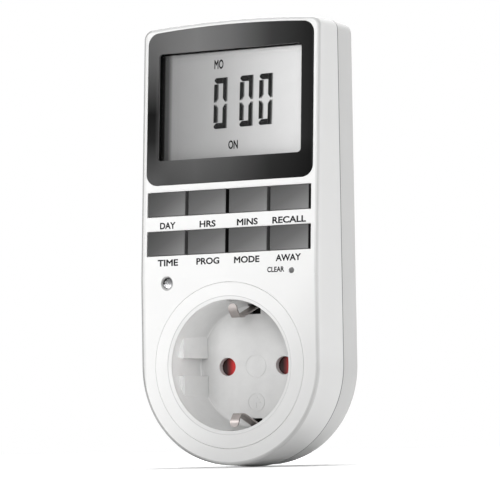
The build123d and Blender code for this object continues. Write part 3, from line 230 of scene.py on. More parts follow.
TABLE_SIZE = 4.0
table_height = cad_box[0][2]
bpy.ops.mesh.primitive_grid_add(x_subdivisions=4, y_subdivisions=4, size=TABLE_SIZE,
                                location=(0, 0, table_height))
floor = bpy.context.object
floor.name = "table"
bpy.ops.object.transform_apply()
table = Finish("table_white", Roughness=0.9, Specular_IOR_Level=0.0)
place = table.place()
table.set("Base Color", table.mix(table.noise(place, 30.0), 0.78, 0.80))
# To the camera the table glows white further out, and its shadow stays close to the timer.
wide = table.node("VectorMath", {"operation": "MULTIPLY"}, [place, (3.0, 1.0, 1.0)])
away = table.node("VectorMath", {"operation": "LENGTH"}, [wide], out="Value") / MM
seen = table.node("LightPath", out="Is Camera Ray")
glow = table.ramp(away, [(40.0, 0.06), (150.0, 0.45), (400.0, 1.0)])
glow = table.node("Emission", sockets={"Color": (1, 1, 1, 1), "Strength": glow * seen})
both = table.node("AddShader", sockets=[glow, Value(table, table.shader.outputs[0])])
table.feed(both, "Material Output", "Surface")
floor.data.materials.append(table.material)

world = bpy.data.worlds.new("cove")
bpy.context.scene.world = world
world.use_nodes = True
COVE_LIGHT, WHITE = 0.110, 1.0
cove = Nodes(world.node_tree)
shown = cove.node("LightPath", out="Is Camera Ray")
for ray in ("Is Glossy Ray", "Is Transmission Ray"):
    shown = shown.math("MAXIMUM", cove.node("LightPath", out=ray))
level = cove.node("MapRange", sockets={"Value": shown, "To Min": COVE_LIGHT, "To Max": WHITE})
cove.tree.nodes["Background"].inputs["Color"].default_value = (1, 1, 1, 1)
cove.feed(level, "Background", "Strength")

LAMPS = (
    # name, place (m), size (m), power (W)
    ("top_lamp", (-0.10, 0.28, 0.80), (0.6, 0.6), 8.0),
    ("front_lamp", (0.30, -0.92, 0.25), (0.5, 0.5), 4.95),
    ("near_lamp", (-0.42, -0.42, 0.24), (0.25, 0.25), 1.2),
    ("side_lamp", (1.0, 0.38, 0.10), (0.5, 0.2), 2.7),
)
LAMP_AIM = Vector((0.0, -0.02, 0.035))
for name, place, size, power in LAMPS:
    data = bpy.data.lights.new(name, "AREA")
    data.shape, data.size, data.size_y, data.energy = "RECTANGLE", size[0], size[1], power
    lamp = bpy.data.objects.new(name, data)
    bpy.context.scene.collection.objects.link(lamp)
    lamp.location = place
    beam = LAMP_AIM - Vector(place)
    lamp.rotation_euler = beam.to_track_quat("-Z", "Y").to_euler()


# ---- White shells ----
# Front and rear cover, injection moulded in glossy white ABS, the rear one with the plug body. Four
# long screws from behind pull them together, and a thin dark joint shows, its shade painted on both
# covers.
GLOSSY = 0.23


def moulded(name, colour, rough, grain=900.0, wave=0.000004, shade=None, **constants):
    """Moulded plastic: faint flow clouds, a slightly uneven gloss and a fine skin."""
    finish = Finish(name, **constants)
    place = finish.place()
    clouds = finish.noise(place, 60.0, 3.0)
    colour = grey(colour)
    tone = finish.mix(clouds, colour, tuple(c * 0.965 for c in colour))
    if shade:
        tone = shade(finish, tone, finish.axes(place))
    finish.set("Base Color", tone)
    skin = finish.noise(place, grain, 2.0)
    finish.set("Roughness", rough + (skin - 0.5) * 0.08 + (clouds - 0.5) * 0.06)
    finish.bump(skin, wave, 0.5)
    return finish


def dress(finish, *nodes):
    """Gives the named parts of the timer this finish alone."""
    for name in nodes:
        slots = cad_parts[name].data.materials
        slots.clear()
        slots.append(finish.material)


def centre(name, axis):
    """Middle of a part of the timer along an axis, in mm."""
    low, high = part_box(name)
    return (low[axis] + high[axis]) / 2 / MM


joint_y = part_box("front_cover")[1][1] / MM
LED_X, LED_Z, LED_RING = centre("status_led", 0), centre("status_led", 2), 2.0


def lower_right_shade(finish, x, z):
    """Painted shade: a face greys slightly towards its lower right, where less light falls."""
    return finish.ramp((x - z) * 0.8, [(-20, 1.0), (0, 0.95), (10, 0.87), (19, 0.81), (30, 0.79)])


def cover_shade(finish, tone, axes):
    """Painted shade: in the joint between the covers, towards the lower right of the faces, on the
    lower part of the sides, on the rounded edges and on what faces left."""
    x, y, z = axes
    turn = finish.facing()
    sideways = (turn[0] * turn[0] + turn[2] * turn[2]).math("SQRT")
    forwards = abs(turn[1])
    # Painted shade: the sides grey towards their foot.
    foot = finish.ramp(z, [(-22, 0.90), (5, 1.0)])
    tone = finish.times(tone, finish.mix(forwards > 0.8, foot, lower_right_shade(finish, x, z)))
    # Painted shade in the joint between the covers.
    tone = finish.mix(finish.within(y, joint_y - 0.35, joint_y + 0.55, 0.25), tone, 0.12)
    edge = forwards.math("MINIMUM", sideways)
    # Painted shade on the rounded edges, and on surfaces that face left.
    edge_shade = finish.ramp(edge, [(0.06, 1.0), (0.20, 0.80), (0.72, 0.66)])
    left = finish.ramp(turn[0], [(-1.0, 1.0), (-0.85, 0.64), (-0.15, 0.64), (-0.02, 1.0)])
    return finish.times(tone, finish.times(edge_shade, left))


def front_shade(finish, tone, axes):
    """The same, with painted shade round the lamp's countersunk hole and a painted greyer strip of
    shade where the face rounds off to the left."""
    x, y, z = axes
    out_x, out_z = x - LED_X, z - LED_Z
    reach = (out_x * out_x + out_z * out_z).math("SQRT")
    # Painted shade round the lamp's countersunk hole.
    countersink_shade = finish.within(reach, 0.0, LED_RING, 0.25) * (y < face_y + 3.0)
    # Painted shade on a strip where the face rounds off to the left.
    strip = finish.ramp(x, [(-29.2, 0.95), (-28.7, 0.86), (-28.2, 0.86), (-27.5, 1.0)])
    tone = finish.times(tone, finish.mix(y > face_y + 6.0, strip, 1.0))
    return finish.mix(countersink_shade, cover_shade(finish, tone, axes), 0.40)


# The rear cover is the same white plastic, its colour painted greyer as shade.
front_white, rear_white_shaded = (0.86, 0.86, 0.855), (0.69, 0.69, 0.685)
front_shell = moulded("white_abs", front_white, GLOSSY, shade=front_shade, Specular_IOR_Level=0.35)
dress(front_shell, "front_cover")
rear_shell = moulded("white_abs_rear_shaded", rear_white_shaded, GLOSSY, shade=cover_shade, Specular_IOR_Level=0.35)
dress(rear_shell, "rear_cover")


def metal(name, colour, rough, along=(1.0, 1.0, 1.0), grain=2600.0):
    """Stamped or turned metal: a drawn grain, a few darker clouds and soft scratches."""
    finish = Finish(name, Metallic=1.0)
    place = finish.place()
    drawn = finish.node("VectorMath", {"operation": "MULTIPLY"}, [place, along])
    lines = finish.noise(drawn, grain, 3.0, 0.6)
    clouds = finish.noise(place, 180.0, 2.0)
    darker = tuple(c * 0.72 for c in colour)
    finish.set("Base Color", finish.mix(clouds * 0.6 + lines * 0.3, colour, darker))
    finish.set("Roughness", rough + lines * 0.16)
    finish.bump(lines, 0.000008, 0.4)
    return finish


zinc = metal("zinc_plate", (0.62, 0.63, 0.65), 0.24, along=(1.0, 0.2, 1.0))
dress(zinc, "case_screws", "carrier_screws", "display_board_screws", "main_board_screws")


# ---- Socket insert ----
# White insert with the round well, its side guides and the pin holes, pressed into the front cover.
# Its face has a painted dark line where a fine step is, its well is a little cloudy inside, and the
# light and shade across the well are painted.
LINE_INNER, LINE_OUTER, FLOOR_DEPTH = 20.35, 20.5, 17.2


def well_shade(finish, tone, axes):
    """The painted dark line of the step, random clouds, and painted light and shade across the well's
    wall, its floor and the blunt ends of its guides, with painted shade towards the lower right."""
    x, y, z = axes
    radius = (x * x + z * z).math("SQRT")
    # Painted shade: a dark line on the face where a fine step is.
    line = finish.within(radius, LINE_INNER, LINE_OUTER, 0.2) * (y < face_y + 1.0)
    clouds = finish.noise(finish.place(), 260.0, 4.0, 0.62)
    cloud = finish.ramp(clouds, [(0.3, 0.80), (0.7, 0.85)])
    inside = finish.within(y, face_y + 1.0, face_y + 40.0, 1.0)
    # Painted light: the well's wall is paler on its left and near the mouth, darker deeper in.
    wall = finish.times(finish.ramp(x, [(-19, 1.36), (0, 1.0)]),
                        finish.ramp(y, [(face_y + 1.0, 1.14), (face_y + 17.0, 0.84)]))
    # Painted light and shade across the well's floor.
    floor_light = finish.ramp(x, [(-17, 0.70), (-12, 1.02), (-7, 1.12), (0, 1.01), (14, 1.0)])
    well_light_and_shade = finish.mix(y > face_y + FLOOR_DEPTH, wall, floor_light)
    tone = finish.times(tone, finish.mix(inside, 1.0, finish.times(cloud, well_light_and_shade)))
    forwards = abs(finish.facing()[1])
    # Painted shade on the blunt ends of the guides.
    guide_end_shade = finish.within(y, face_y + 3.0, face_y + 16.0, 0.5) * (forwards > 0.15)
    tone = finish.times(tone, finish.mix(guide_end_shade, 1.0, 0.74))
    # Painted shade towards the lower right, as on the covers.
    tone = finish.times(tone, lower_right_shade(finish, x, z))
    return finish.mix(line, tone, 0.52)


insert = moulded("white_insert", front_white, 0.33, grain=1100.0, shade=well_shade,
                 Specular_IOR_Level=0.3)
dress(insert, "socket_insert")


# ---- Shutter and contact carrier ----
# Behind the well's floor a red shutter turns on a pin against a small wire spring. Its two
# wings close the pin holes, and each wing is in shadow on its left.
SHUTTER_PITCH = 19.0


def hole_shadow(finish, tone, axes):
    """Shadow by the distance from the middle of each pin hole. Two holes one pitch apart
    give it the same value."""
    lap = axes[0] / SHUTTER_PITCH + 1.0
    across = (lap.math("FRACT") - 0.5) * SHUTTER_PITCH
    shadow = finish.ramp(across, [(-3.4, 0.02), (-1.5, 0.03), (-0.5, 0.30), (0.9, 1.4)])
    return finish.times(tone, shadow)


red = moulded("shutter_red", (0.50, 0.016, 0.016), 0.34, grain=1500.0, wave=0.00002,
              shade=hole_shadow)
dress(red, "shutter")
dress(metal("spring_wire", (0.55, 0.55, 0.56), 0.26), "shutter_spring")
dress(moulded("carrier_grey", 0.10, 0.5, grain=2200.0, wave=0.00003), "contact_carrier")


# ---- Contacts, bars and earth parts ----
# Brass sleeves and bars are stamped from strip. The earth clips, the pins and the plug's side strips
# are nickel plated, and the earth yoke is coloured near black as painted shade in the slot behind the
# clips.
brass = metal("strip_brass", (0.72, 0.52, 0.22), 0.26, along=(1.0, 0.15, 0.15))
dress(brass, "socket_contact_live", "socket_contact_neutral", "live_busbar",
      "neutral_busbar", "relay_contacts")
nickel = metal("nickel_plate", (0.66, 0.63, 0.60), 0.12, along=(1.0, 0.12, 0.12))
dress(nickel, "plug_pin_live", "plug_pin_neutral", "plug_earth_strip_top",
      "plug_earth_strip_bottom", "plug_earth_socket", "battery_tabs", "quartz_crystal")
clip = metal("clip_nickel", (0.52, 0.475, 0.46), 0.34, along=(1.0, 0.12, 0.12), grain=3400.0)
dress(clip, "earth_clip_top", "earth_clip_bottom")
# Painted shade: the yoke is near black where it shows through the dark slot.
dress(metal("yoke_shade_black", (0.035, 0.033, 0.032), 0.45), "earth_yoke")


# ---- Display surround and pane ----
# Piano-black surround, polished, with a soft light reflection painted over its upper left and dull
# dark walls in its window. The clear acrylic pane is snapped into it, 1 mm below its face.
LEAN = radians(3.5)
LEAN_FOOT = 26.0
LEFT_BAR_X, BAR_BLEND, WALL_TOP = -25.0, 5.0, 0.35
WINDOW_LOW, WINDOW_HIGH = 62.5, 93.5


def on_face(x, z, depth=0.0):
    """Point on the leaning face, depth mm below it, for a height z in mm."""
    climb = (z - LEAN_FOOT) / cos(LEAN)
    y = face_y + climb * sin(LEAN) + depth * cos(LEAN)
    return Vector((x, y, LEAN_FOOT + climb * cos(LEAN) - depth * sin(LEAN))) * MM


def below_face(axes):
    """Depth in mm below the leaning face, as a value."""
    return (axes[1] - face_y) * cos(LEAN) - (axes[2] - LEAN_FOOT) * sin(LEAN)


surround = Finish("piano_black", Specular_IOR_Level=0.05)
place = surround.place()
x, y, z = surround.axes(place)
# Painted reflection: paler over the upper left of the bars, fading to the right.
across = surround.ramp(x, [(-26, 0.120), (-11, 0.170), (0, 0.128), (14, 0.038), (27, 0.012)])
left_bar = surround.ramp(z, [(56, 0.66), (68, 0.12), (76, 0.05), (91, 0.80), (99, 0.98)])
level_bars = surround.ramp(z, [(55, 0.48), (61, 0.58), (66, 1.1), (97, 1.0)])
bar = surround.node("Clamp", sockets=[(x - LEFT_BAR_X) / BAR_BLEND])
painted_reflection = surround.times(across, surround.mix(bar, left_bar, level_bars))
depth = below_face((x, y, z))
wall = surround.within(depth, WALL_TOP, 30.0, 0.2)
painted_reflection = surround.mix(wall, painted_reflection, 0.005)
# A painted highlight along the window's left rim.
glint = surround.within(x, -24.0, -23.75, 0.12) * surround.within(depth, 0.0, 0.4, 0.2)
glint = glint * surround.within(z, WINDOW_LOW, WINDOW_HIGH, 0.6)
painted_reflection = surround.mix(glint, painted_reflection, 0.20)
surround.set("Base Color", painted_reflection)
ripple = surround.noise(place, 420.0)
surround.set("Roughness", 0.10 + ripple * 0.05 + wall * 0.8)
surround.bump(ripple, 0.000006, 0.3)
dress(surround, "display_bezel")

pane = Finish("clear_acrylic", Specular_IOR_Level=0.2)
haze = pane.noise(pane.place(), 260.0)
pane.set("Base Color", pane.mix(haze, 0.02, 0.04))
pane.set("Roughness", 0.03 + haze * 0.03)
pane.set("Alpha", 0.02 + haze * 0.02)
dress(pane, "display_window")

holder = moulded("holder_black", 0.006, 0.8, grain=1600.0, Specular_IOR_Level=0.03)
dress(holder, "lcd_holder")
dress(moulded("zebra_rubber", (0.36, 0.37, 0.39), 0.62, grain=3000.0), "zebra_strip")


# ---- Liquid crystal cell ----
# Two thin glasses with a grey reflector behind, clipped in its holder below the pane. The reflector's
# light is painted: it brightens evenly from left to right, the cell's left edge is painted dark as
# the surround's shadow, and just below its top edge it is painted paler, then dark where the window's
# top wall shades it.
INK_DEPTH, INK_THICK = 3.27, 0.01
cell = Finish("reflector_grey", Roughness=0.5, Specular_IOR_Level=0.1)
place = cell.place()
x, y, z = cell.axes(place)
# Painted light: the reflector brightens from left to right.
tone = cell.ramp(x, [(-21, 0.31), (-4, 0.475), (21, 0.86)])
# Painted shadow of the surround along the cell's left edge.
left_edge_shadow = cell.ramp(x, [(-23.9, 0.02), (-23.4, 0.30), (-22.5, 0.33), (-21.0, 1.12), (-19.0, 0.95)])
# Painted light below the top edge, then painted shade under the window's top wall.
ends = cell.ramp(z, [(60, 1.05), (70, 1.02), (92.4, 1.03), (93.9, 1.45), (94.15, 0.02)])
tone = cell.times(cell.times(tone, left_edge_shadow), ends)
speck = cell.noise(place, 5200.0, 1.0)
cell.set("Base Color", cell.mix(speck * 0.04, tone, 0.2))
cell.bump(speck, 0.000002, 0.2)
dress(cell, "lcd_panel")

DIGIT_W, DIGIT_H = 3.95, 15.4
DIGIT_LEFTS, DIGIT_FOOT = (-7.05, 1.62, 8.08), 71.0
SLANT, ROW_SLOPE = radians(1.6), radians(0.9)
BAR, UPRIGHT, SPLIT, WAIST, BAR_LEFT = 1.75, 0.96, 0.15, 0.28, 0.1
POINT, POINT_WIDTH, OUTER_CUT, INNER_CUT = 1.15, 0.15, 0.5, 0.8
NEAR = 1e-4


def end_edge(height):
    """Selects the edge at this height of the bar being edited."""
    bpy.ops.object.mode_set(mode="OBJECT")
    bar = bpy.context.object.data
    for edge in bar.edges:
        edge.select = all(abs(bar.vertices[i].co.y - height) < NEAR for i in edge.vertices)
    bpy.ops.object.mode_set(mode="EDIT")


def upright_bar(x0, x1, foot, tip, outer):
    """Upright of a figure: a bar from foot, drawn to a point on its outer side at tip."""
    taper = POINT if tip > foot else -POINT
    middle = ((x0 + x1) / 2, (foot + tip - taper) / 2, 0)
    bpy.ops.mesh.primitive_plane_add(size=1.0, location=middle)
    bar = bpy.context.object
    bar.scale = (x1 - x0, abs(tip - taper - foot), 1)
    bpy.ops.object.transform_apply()
    bpy.ops.object.mode_set(mode="EDIT")
    bpy.ops.mesh.select_all(action="DESELECT")
    bpy.ops.mesh.select_mode(type="EDGE")
    end_edge(tip - taper)
    bpy.ops.mesh.extrude_region_move(TRANSFORM_OT_translate={"value": (0, taper, 0)})
    bpy.ops.transform.resize(value=(POINT_WIDTH, 1, 1), center_override=(outer, tip, 0))
    bpy.ops.mesh.select_all(action="SELECT")
    bpy.ops.mesh.normals_make_consistent(inside=False)
    bpy.ops.object.mode_set(mode="OBJECT")
    return bar


def level_bar(x0, x1, z0, z1, upper):
    """Top or bottom bar of a figure, with its left end cut to a blunt point."""
    bpy.ops.mesh.primitive_plane_add(size=1.0, location=((x0 + x1) / 2, (z0 + z1) / 2, 0))
    bar = bpy.context.object
    bar.scale = (x1 - x0, z1 - z0, 1)
    bpy.ops.object.transform_apply()
    outer, inner = (z1, z0) if upper else (z0, z1)
    for height, size in ((outer, OUTER_CUT), (inner, INNER_CUT)):
        corner = Vector((x0, height, 0))
        bpy.ops.object.mode_set(mode="EDIT")
        bpy.ops.mesh.select_all(action="DESELECT")
        bpy.ops.mesh.select_mode(type="VERT")
        bpy.ops.object.mode_set(mode="OBJECT")
        min(bar.data.vertices, key=lambda v: (v.co - corner).length).select = True
        bpy.ops.object.mode_set(mode="EDIT")
        bpy.ops.mesh.bevel(offset=size, affect="VERTICES", segments=1)
        bpy.ops.object.mode_set(mode="OBJECT")
    return bar


def join(name, pieces):
    """Makes one piece of several, in the order given."""
    bpy.ops.object.select_all(action="DESELECT")
    for piece in pieces:
        piece.select_set(True)
    bpy.context.view_layer.objects.active = pieces[0]
    bpy.ops.object.join()
    joined = bpy.context.object
    joined.name = name
    return joined


def bake_place(piece):
    """Puts the object's place and turn into its mesh."""
    bpy.ops.object.select_all(action="DESELECT")
    piece.select_set(True)
    bpy.context.view_layer.objects.active = piece
    bpy.ops.object.transform_apply()


def lay_on_face(piece, depth, z=0.0, turn=0.0):
    """Stands a flat piece drawn in mm (x, height) on the leaning face."""
    flat = Matrix.Rotation(radians(90) - LEAN, 4, "X") @ Matrix.Rotation(turn, 4, "Z")
    size = Matrix.Diagonal((MM, MM, MM, 1))
    piece.matrix_world = Matrix.Translation(on_face(0.0, z, depth)) @ flat @ size @ piece.matrix_world
    bake_place(piece)


def thicken(piece, thick):
    """Gives a flat piece a thickness in mm, outwards."""
    solid = piece.modifiers.new("thickness", "SOLIDIFY")
    solid.thickness, solid.offset = thick * MM, 1.0
    bpy.ops.object.modifier_apply(modifier="thickness")


middle, inner_side = DIGIT_H / 2, DIGIT_W - UPRIGHT
bars = [level_bar(BAR_LEFT, inner_side - SPLIT, DIGIT_H - BAR, DIGIT_H, upper=True),
        level_bar(BAR_LEFT, inner_side - SPLIT, 0.0, BAR, upper=False)]
for half, foot_left, foot_right in ((1, DIGIT_H - BAR - SPLIT, DIGIT_H), (-1, BAR + SPLIT, 0.0)):
    tip = middle + half * WAIST
    bars.append(upright_bar(0.0, UPRIGHT, foot_left, tip, outer=0.0))
    bars.append(upright_bar(inner_side, DIGIT_W, foot_right, tip, outer=DIGIT_W))
zero = join("figure_zero", bars)


def three_zeros(name, shift, depth, thick):
    """Copies of the figure in its three places, slightly slanted."""
    row = []
    for left in DIGIT_LEFTS:
        figure = zero.copy()
        figure.data = zero.data.copy()
        bpy.context.scene.collection.objects.link(figure)
        for vertex in figure.data.vertices:
            vertex.co.x += left + shift + vertex.co.y * tan(SLANT)
        row.append(figure)
    figures = join(name, row)
    lay_on_face(figures, depth, z=DIGIT_FOOT, turn=ROW_SLOPE)
    thicken(figures, thick)
    return figures


ink = Finish("crystal_ink", Roughness=0.5, Specular_IOR_Level=0.05)
mottle = ink.noise(ink.place(), 4200.0, 2.0)
ink.set("Base Color", ink.mix(mottle, 0.010, 0.022))
cast_ink = Finish("crystal_shadow", Roughness=0.6, Specular_IOR_Level=0.0)
mottle = cast_ink.noise(cast_ink.place(), 3000.0, 1.0)
cast_ink.set("Base Color", cast_ink.mix(mottle, 0.06, 0.10))
cast_ink.set("Alpha", 0.20 + mottle * 0.05)

# The soft shadow of the figures is two pale copies, each further to the right.
CAST_THICK = 0.004
CASTS = (
    # mark, shift to the right and depth below the ink's front, in mm
    ("a", 0.30, 0.024),
    ("b", 0.62, 0.018),
)
figures = three_zeros("lcd_digits", 0.0, INK_DEPTH, INK_THICK)
figures.data.materials.append(ink.material)
casts = [three_zeros("lcd_digit_shadow_" + mark, shift, INK_DEPTH + lower, CAST_THICK)
         for mark, shift, lower in CASTS]
for piece in casts:
    piece.data.materials.append(cast_ink.material)
for piece in [figures, *casts]:
    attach(piece, "case")
bpy.data.objects.remove(zero)


# ---- Printed words ----
# Legends under the keys are pad printed in dark grey ink, a hundredth of a millimetre
# thick. The two small words on the display belong to its cell.
PRINT_DEPTH, PRINT_THICK, PRINT_BOLD, INK_BOLD = -0.005, 0.012, 0.033, 0.028


def words(name, text, x0, x1, base, cap, depth, thick, bold):
    """Text fitted between x0 and x1 with its baseline and capital height in mm. Its edge
    slopes outwards by bold, in parts of the letter size, on its front and on its back."""
    bpy.ops.object.select_all(action="DESELECT")
    bpy.ops.object.text_add()
    piece = bpy.context.object
    piece.name = name
    piece.data.body = text
    piece.data.resolution_u = 4
    piece.data.extrude = bold
    piece.data.bevel_depth = bold
    piece.data.bevel_resolution = 0
    bpy.ops.object.convert(target="MESH")
    piece = bpy.context.object
    flat = [v.co for v in piece.data.vertices]
    left, wide = min(c.x for c in flat), max(c.x for c in flat)
    low, high = min(c.y for c in flat), max(c.y for c in flat)
    drawn_thick = 4 * bold
    stretch = Vector(((x1 - x0) / (wide - left), cap / (high - low), thick / drawn_thick))
    piece.scale = stretch
    piece.location = (x0 - left * stretch.x, -low * stretch.y, 0.0)
    bake_place(piece)
    lay_on_face(piece, depth, z=base)
    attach(piece, "case")
    return piece


print_ink = Finish("print_ink", Roughness=0.5, Specular_IOR_Level=0.1)
mottle = print_ink.noise(print_ink.place(), 9000.0, 2.0)
print_ink.set("Base Color", print_ink.mix(mottle, (0.010, 0.010, 0.011), (0.028, 0.028, 0.030)))
print_ink.bump(mottle, 0.000003, 0.5)
LEGENDS = (
    # word, its left and right, its foot and its height, in mm
    ("DAY", -22.9, -17.6, 41.15, 2.0),
    ("HRS", -9.5, -4.1, 41.1, 2.0),
    ("MINS", 3.0, 9.9, 41.05, 2.0),
    ("RECALL", 14.7, 25.7, 41.05, 2.0),
    ("TIME", -23.5, -16.6, 30.0, 2.0),
    ("PROG", -10.4, -2.7, 30.0, 2.0),
    ("MODE", 2.2, 10.6, 29.9, 2.0),
    ("AWAY", 15.9, 24.2, 29.9, 2.0),
    ("CLEAR", 13.2, 18.8, 26.75, 1.6),
)
for text, x0, x1, base, cap in LEGENDS:
    piece = words("legend_" + text.lower(), text, x0, x1, base, cap,
                  PRINT_DEPTH, PRINT_THICK, PRINT_BOLD)
    piece.data.materials.append(print_ink.material)
LCD_WORDS = (("MO", -6.93, -3.86, 89.0, 2.85), ("ON", -1.9, 1.3, 64.55, 2.65))
for text, x0, x1, base, cap in LCD_WORDS:
    piece = words("lcd_" + text.lower(), text, x0, x1, base, cap, INK_DEPTH, INK_THICK, INK_BOLD)
    piece.data.materials.append(ink.material)


# ---- Keys ----
# Eight satin grey caps moulded in plastic, on one silicone mat with a dome under each. Each cap is
# slightly dished, and its light is painted from dark at its top left to pale at its bottom right,
# with its right wall painted lit on some keys and in shade on others.
KEY_PITCH = centre("key_hour", 0) - centre("key_day", 0)
ROW_PITCH = centre("key_day", 2) - centre("key_clock", 2)
KEY_FOOT, KEY_HEIGHT, FLANK = 33.05, 7.5, 0.957


def cap_finish(name, wall):
    """Satin grey with painted light: each cap dark at its top left and pale at its bottom right,
    painted shade towards the far left, and its right wall, past FLANK of its pitch, painted at the
    level wall, lit or in shade.
    """
    finish = Finish(name, Specular_IOR_Level=0.2)
    place = finish.place()
    x, y, z = finish.axes(place)
    across = (x / KEY_PITCH + 4.0).math("FRACT")
    down = 1.0 - ((z - KEY_FOOT) / ROW_PITCH).math("FRACT") * (ROW_PITCH / KEY_HEIGHT)
    # Painted light across each cap, from its top left to its bottom right.
    tone = finish.ramp(across * 0.5 + down * 0.5, [(0.0, 0.058), (0.5, 0.115), (1.0, 0.25)])
    # Painted shade towards the far left.
    far_left_shade = finish.ramp(x, [(-27.0, 0.62), (-18.0, 0.86), (-12.0, 1.0)])
    tone = finish.mix(across > FLANK, finish.times(tone, far_left_shade), wall)
    grain = finish.noise(place, 6000.0, 2.0)
    finish.set("Base Color", finish.mix(grain * 0.12, tone, 0.02))
    finish.set("Roughness", 0.42 + grain * 0.12)
    finish.bump(grain, 0.00001, 0.6)
    return finish


# Keys whose right wall is painted lit, then keys whose right wall is painted in shade.
dress(cap_finish("key_grey", 0.13), "key_day", "key_minute", "key_clock", "key_mode")
dress(cap_finish("key_grey_shaded_wall", 0.008), "key_hour", "key_recall", "key_timer", "key_random")

# The mat is a sheet of soft silicone with a dome below each cap. A dome flattens as its
# key goes down, so the mat is made here as a sheet and eight domes.
rubber = moulded("silicone_dark", 0.02, 0.6, grain=3000.0, Specular_IOR_Level=0.2)
MAT_FRONT, MAT_THICK, MAT_EDGE = 5.0, 1.0, 0.3
MAT_HALF_WIDTH, MAT_LOW, MAT_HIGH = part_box("keypad_mat")[1][0] / MM, 31.98, 52.45
DOME_FOOT_R, DOME_TOP_R, DOME_HEIGHT = 3.2, 2.2, 1.8
CROWN_RIM, CROWN_STEP, CROWN_DROP = 0.5, 0.3, 0.25


def silicone(piece, depth, z):
    """Stands a mat piece below its keys and gives it its body and rubber."""
    lay_on_face(piece, depth, z)
    piece.data.materials.append(rubber.material)
    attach(piece, "case")


bpy.ops.object.select_all(action="DESELECT")
bpy.ops.mesh.primitive_cube_add(size=1.0, location=(0, 0, -MAT_THICK / 2))
sheet = bpy.context.object
sheet.name = "keypad_sheet"
sheet.scale = (2 * MAT_HALF_WIDTH, MAT_HIGH - MAT_LOW, MAT_THICK)
bpy.ops.object.transform_apply()
bevel = sheet.modifiers.new("rounded", "BEVEL")
bevel.width, bevel.segments = MAT_EDGE, 2
bpy.ops.object.modifier_apply(modifier="rounded")
silicone(sheet, MAT_FRONT, (MAT_LOW + MAT_HIGH) / 2)
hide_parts("keypad_mat")
UPPER_KEYS, LOWER_KEYS = ("day", "hour", "minute", "recall"), ("clock", "timer", "mode", "random")
for row, names in ((1, UPPER_KEYS), (0, LOWER_KEYS)):
    for column, key in enumerate(names):
        key_x = (column - 1.5) * KEY_PITCH
        key_z = KEY_FOOT + KEY_HEIGHT / 2 + row * ROW_PITCH
        bpy.ops.object.select_all(action="DESELECT")
        bpy.ops.mesh.primitive_cone_add(vertices=28, radius1=DOME_FOOT_R, radius2=DOME_TOP_R,
                                        depth=DOME_HEIGHT, location=(key_x, 0, DOME_HEIGHT / 2))
        dome = bpy.context.object
        dome.name = "key_dome_" + key
        bpy.ops.object.transform_apply()
        bpy.ops.object.mode_set(mode="EDIT")
        bpy.ops.mesh.select_all(action="DESELECT")
        bpy.ops.object.mode_set(mode="OBJECT")
        max(dome.data.polygons, key=lambda face: face.center.z).select = True
        bpy.ops.object.mode_set(mode="EDIT")
        bpy.ops.mesh.inset(thickness=CROWN_RIM, depth=0.0)
        bpy.ops.mesh.inset(thickness=CROWN_STEP, depth=-CROWN_DROP)
        bpy.ops.object.mode_set(mode="OBJECT")
        silicone(dome, MAT_FRONT, key_z)
        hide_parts("keypad_mat")
        foot = on_face(key_x, key_z, MAT_FRONT)
        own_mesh(dome)


# ---- Reset button and status lamp ----
# A thin grey plunger behind a small hole, and a clear round lamp with a bright reflector
# cup cast into the epoxy, in a dark frame.
def plunger_light(finish, tone, axes):
    """Pale at the plunger's upper left, dark at its lower right."""
    x, y, z = axes
    slope = (x - z) * sin(radians(45)) + 4.2
    return finish.times(tone, finish.ramp(slope, [(-0.9, 2.6), (0.0, 1.2), (0.7, 0.35)]))


dress(moulded("plunger_grey", 0.10, 0.4, grain=2500.0, shade=plunger_light), "reset_button")
dress(moulded("switch_grey", 0.055, 0.4, grain=2500.0), "reset_switch")
lens = Finish("clear_epoxy", Transmission_Weight=1.0, IOR=1.5)
bubble = lens.noise(lens.place(), 1800.0)
lens.set("Base Color", lens.mix(bubble, 0.93, 0.97))
lens.set("Roughness", 0.02 + bubble * 0.03)
dress(lens, "status_led")

led_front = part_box("status_led")[0][1] / MM
SPIN_STEPS = 32


def cast_in_lamp(name, outline, finish):
    """Closed round piece on the lamp's axis: outline is (radius, depth) in mm. A small plane
    is merged to one point, which is extruded along the outline and spun."""
    bpy.ops.object.select_all(action="DESELECT")
    bpy.ops.mesh.primitive_plane_add(size=1.0)
    piece = bpy.context.object
    piece.name = name
    bpy.ops.object.mode_set(mode="EDIT")
    bpy.ops.mesh.select_mode(type="VERT")
    bpy.ops.mesh.merge(type="CENTER")
    first_radius, first_depth = outline[0]
    bpy.ops.transform.translate(value=(LED_X + first_radius, led_front + first_depth, LED_Z))
    for (near, start), (far, end) in zip(outline, outline[1:]):
        step = (far - near, end - start, 0.0)
        bpy.ops.mesh.extrude_vertices_move(TRANSFORM_OT_translate={"value": step})
    bpy.ops.mesh.select_all(action="SELECT")
    bpy.ops.mesh.spin(steps=SPIN_STEPS, angle=radians(360), center=(LED_X, 0, LED_Z), axis=(0, 1, 0))
    bpy.ops.mesh.select_all(action="SELECT")
    bpy.ops.mesh.remove_doubles(threshold=0.001)
    bpy.ops.mesh.normals_make_consistent(inside=False)
    bpy.ops.mesh.faces_shade_smooth()
    bpy.ops.object.mode_set(mode="OBJECT")
    piece.scale = (MM, MM, MM)
    bake_place(piece)
    piece.data.materials.append(finish.material)
    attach(piece, "case")


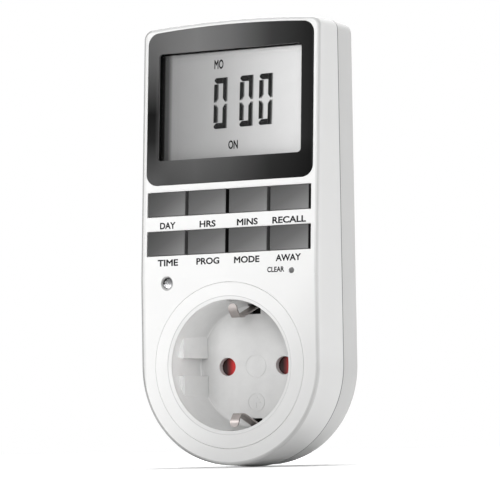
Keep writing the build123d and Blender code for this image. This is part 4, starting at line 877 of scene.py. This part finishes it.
CUP = ((0.0, 2.95), (0.35, 2.95), (0.85, 2.3), (0.95, 2.3), (0.95, 3.3), (0.0, 3.3))
FRAME = ((0.0, 3.4), (1.1, 3.4), (1.15, 2.4), (1.4, 1.9), (1.42, 3.9), (0.0, 3.9))
cast_in_lamp("led_cup", CUP, metal("lamp_silver", (0.42, 0.42, 0.43), 0.25))
cast_in_lamp("led_frame", FRAME, moulded("lamp_frame", 0.015, 0.5))


# ---- Circuit boards ----
# Glass-laminate boards under green mask, with bright tracks. They carry the controller,
# the relay and the mains-dropping parts, and a row of pins links them.
board = Finish("solder_mask")
place = board.place()
tracks = board.node("TexBrick", {"offset": 0.37}, {
    "Vector": place, "Color1": (0, 0, 0, 1), "Color2": (0, 0, 0, 1), "Mortar": (1, 1, 1, 1),
    "Scale": 90.0, "Mortar Size": 0.05})
weave = board.noise(place, 2600.0, 3.0)
mask = board.mix(weave, (0.012, 0.115, 0.045), (0.02, 0.15, 0.065))
board.set("Base Color", board.mix(tracks, mask, (0.05, 0.24, 0.10)))
board.set("Roughness", 0.28 + weave * 0.2)
board.bump(tracks, 0.00003, 0.5)
dress(board, "display_board", "main_board")
black = moulded("epoxy_black", (0.025, 0.025, 0.026), 0.5, grain=3500.0, wave=0.00002)
dress(black, "controller_chip", "board_link", "relay_base", "rectifier_diodes", "driver_transistor")
dress(moulded("relay_blue", (0.02, 0.09, 0.36), 0.3), "relay_cover")
dress(moulded("varistor_blue", (0.015, 0.07, 0.30), 0.35), "varistor")
dress(moulded("film_yellow", (0.62, 0.40, 0.03), 0.32), "mains_capacitor")
dress(moulded("sleeve_black", (0.02, 0.02, 0.035), 0.25), "smoothing_capacitor")
dress(moulded("cell_green", (0.03, 0.22, 0.07), 0.3), "backup_battery")
dress(moulded("resistor_tan", (0.52, 0.36, 0.18), 0.45), "power_resistors")
winding = metal("copper_winding", (0.52, 0.20, 0.08), 0.3, along=(0.1, 0.1, 1.0), grain=6000.0)
dress(winding, "relay_coil")
iron = metal("soft_iron", (0.42, 0.42, 0.43), 0.34, along=(1.0, 1.0, 0.2))
dress(iron, "relay_yoke", "relay_armature")
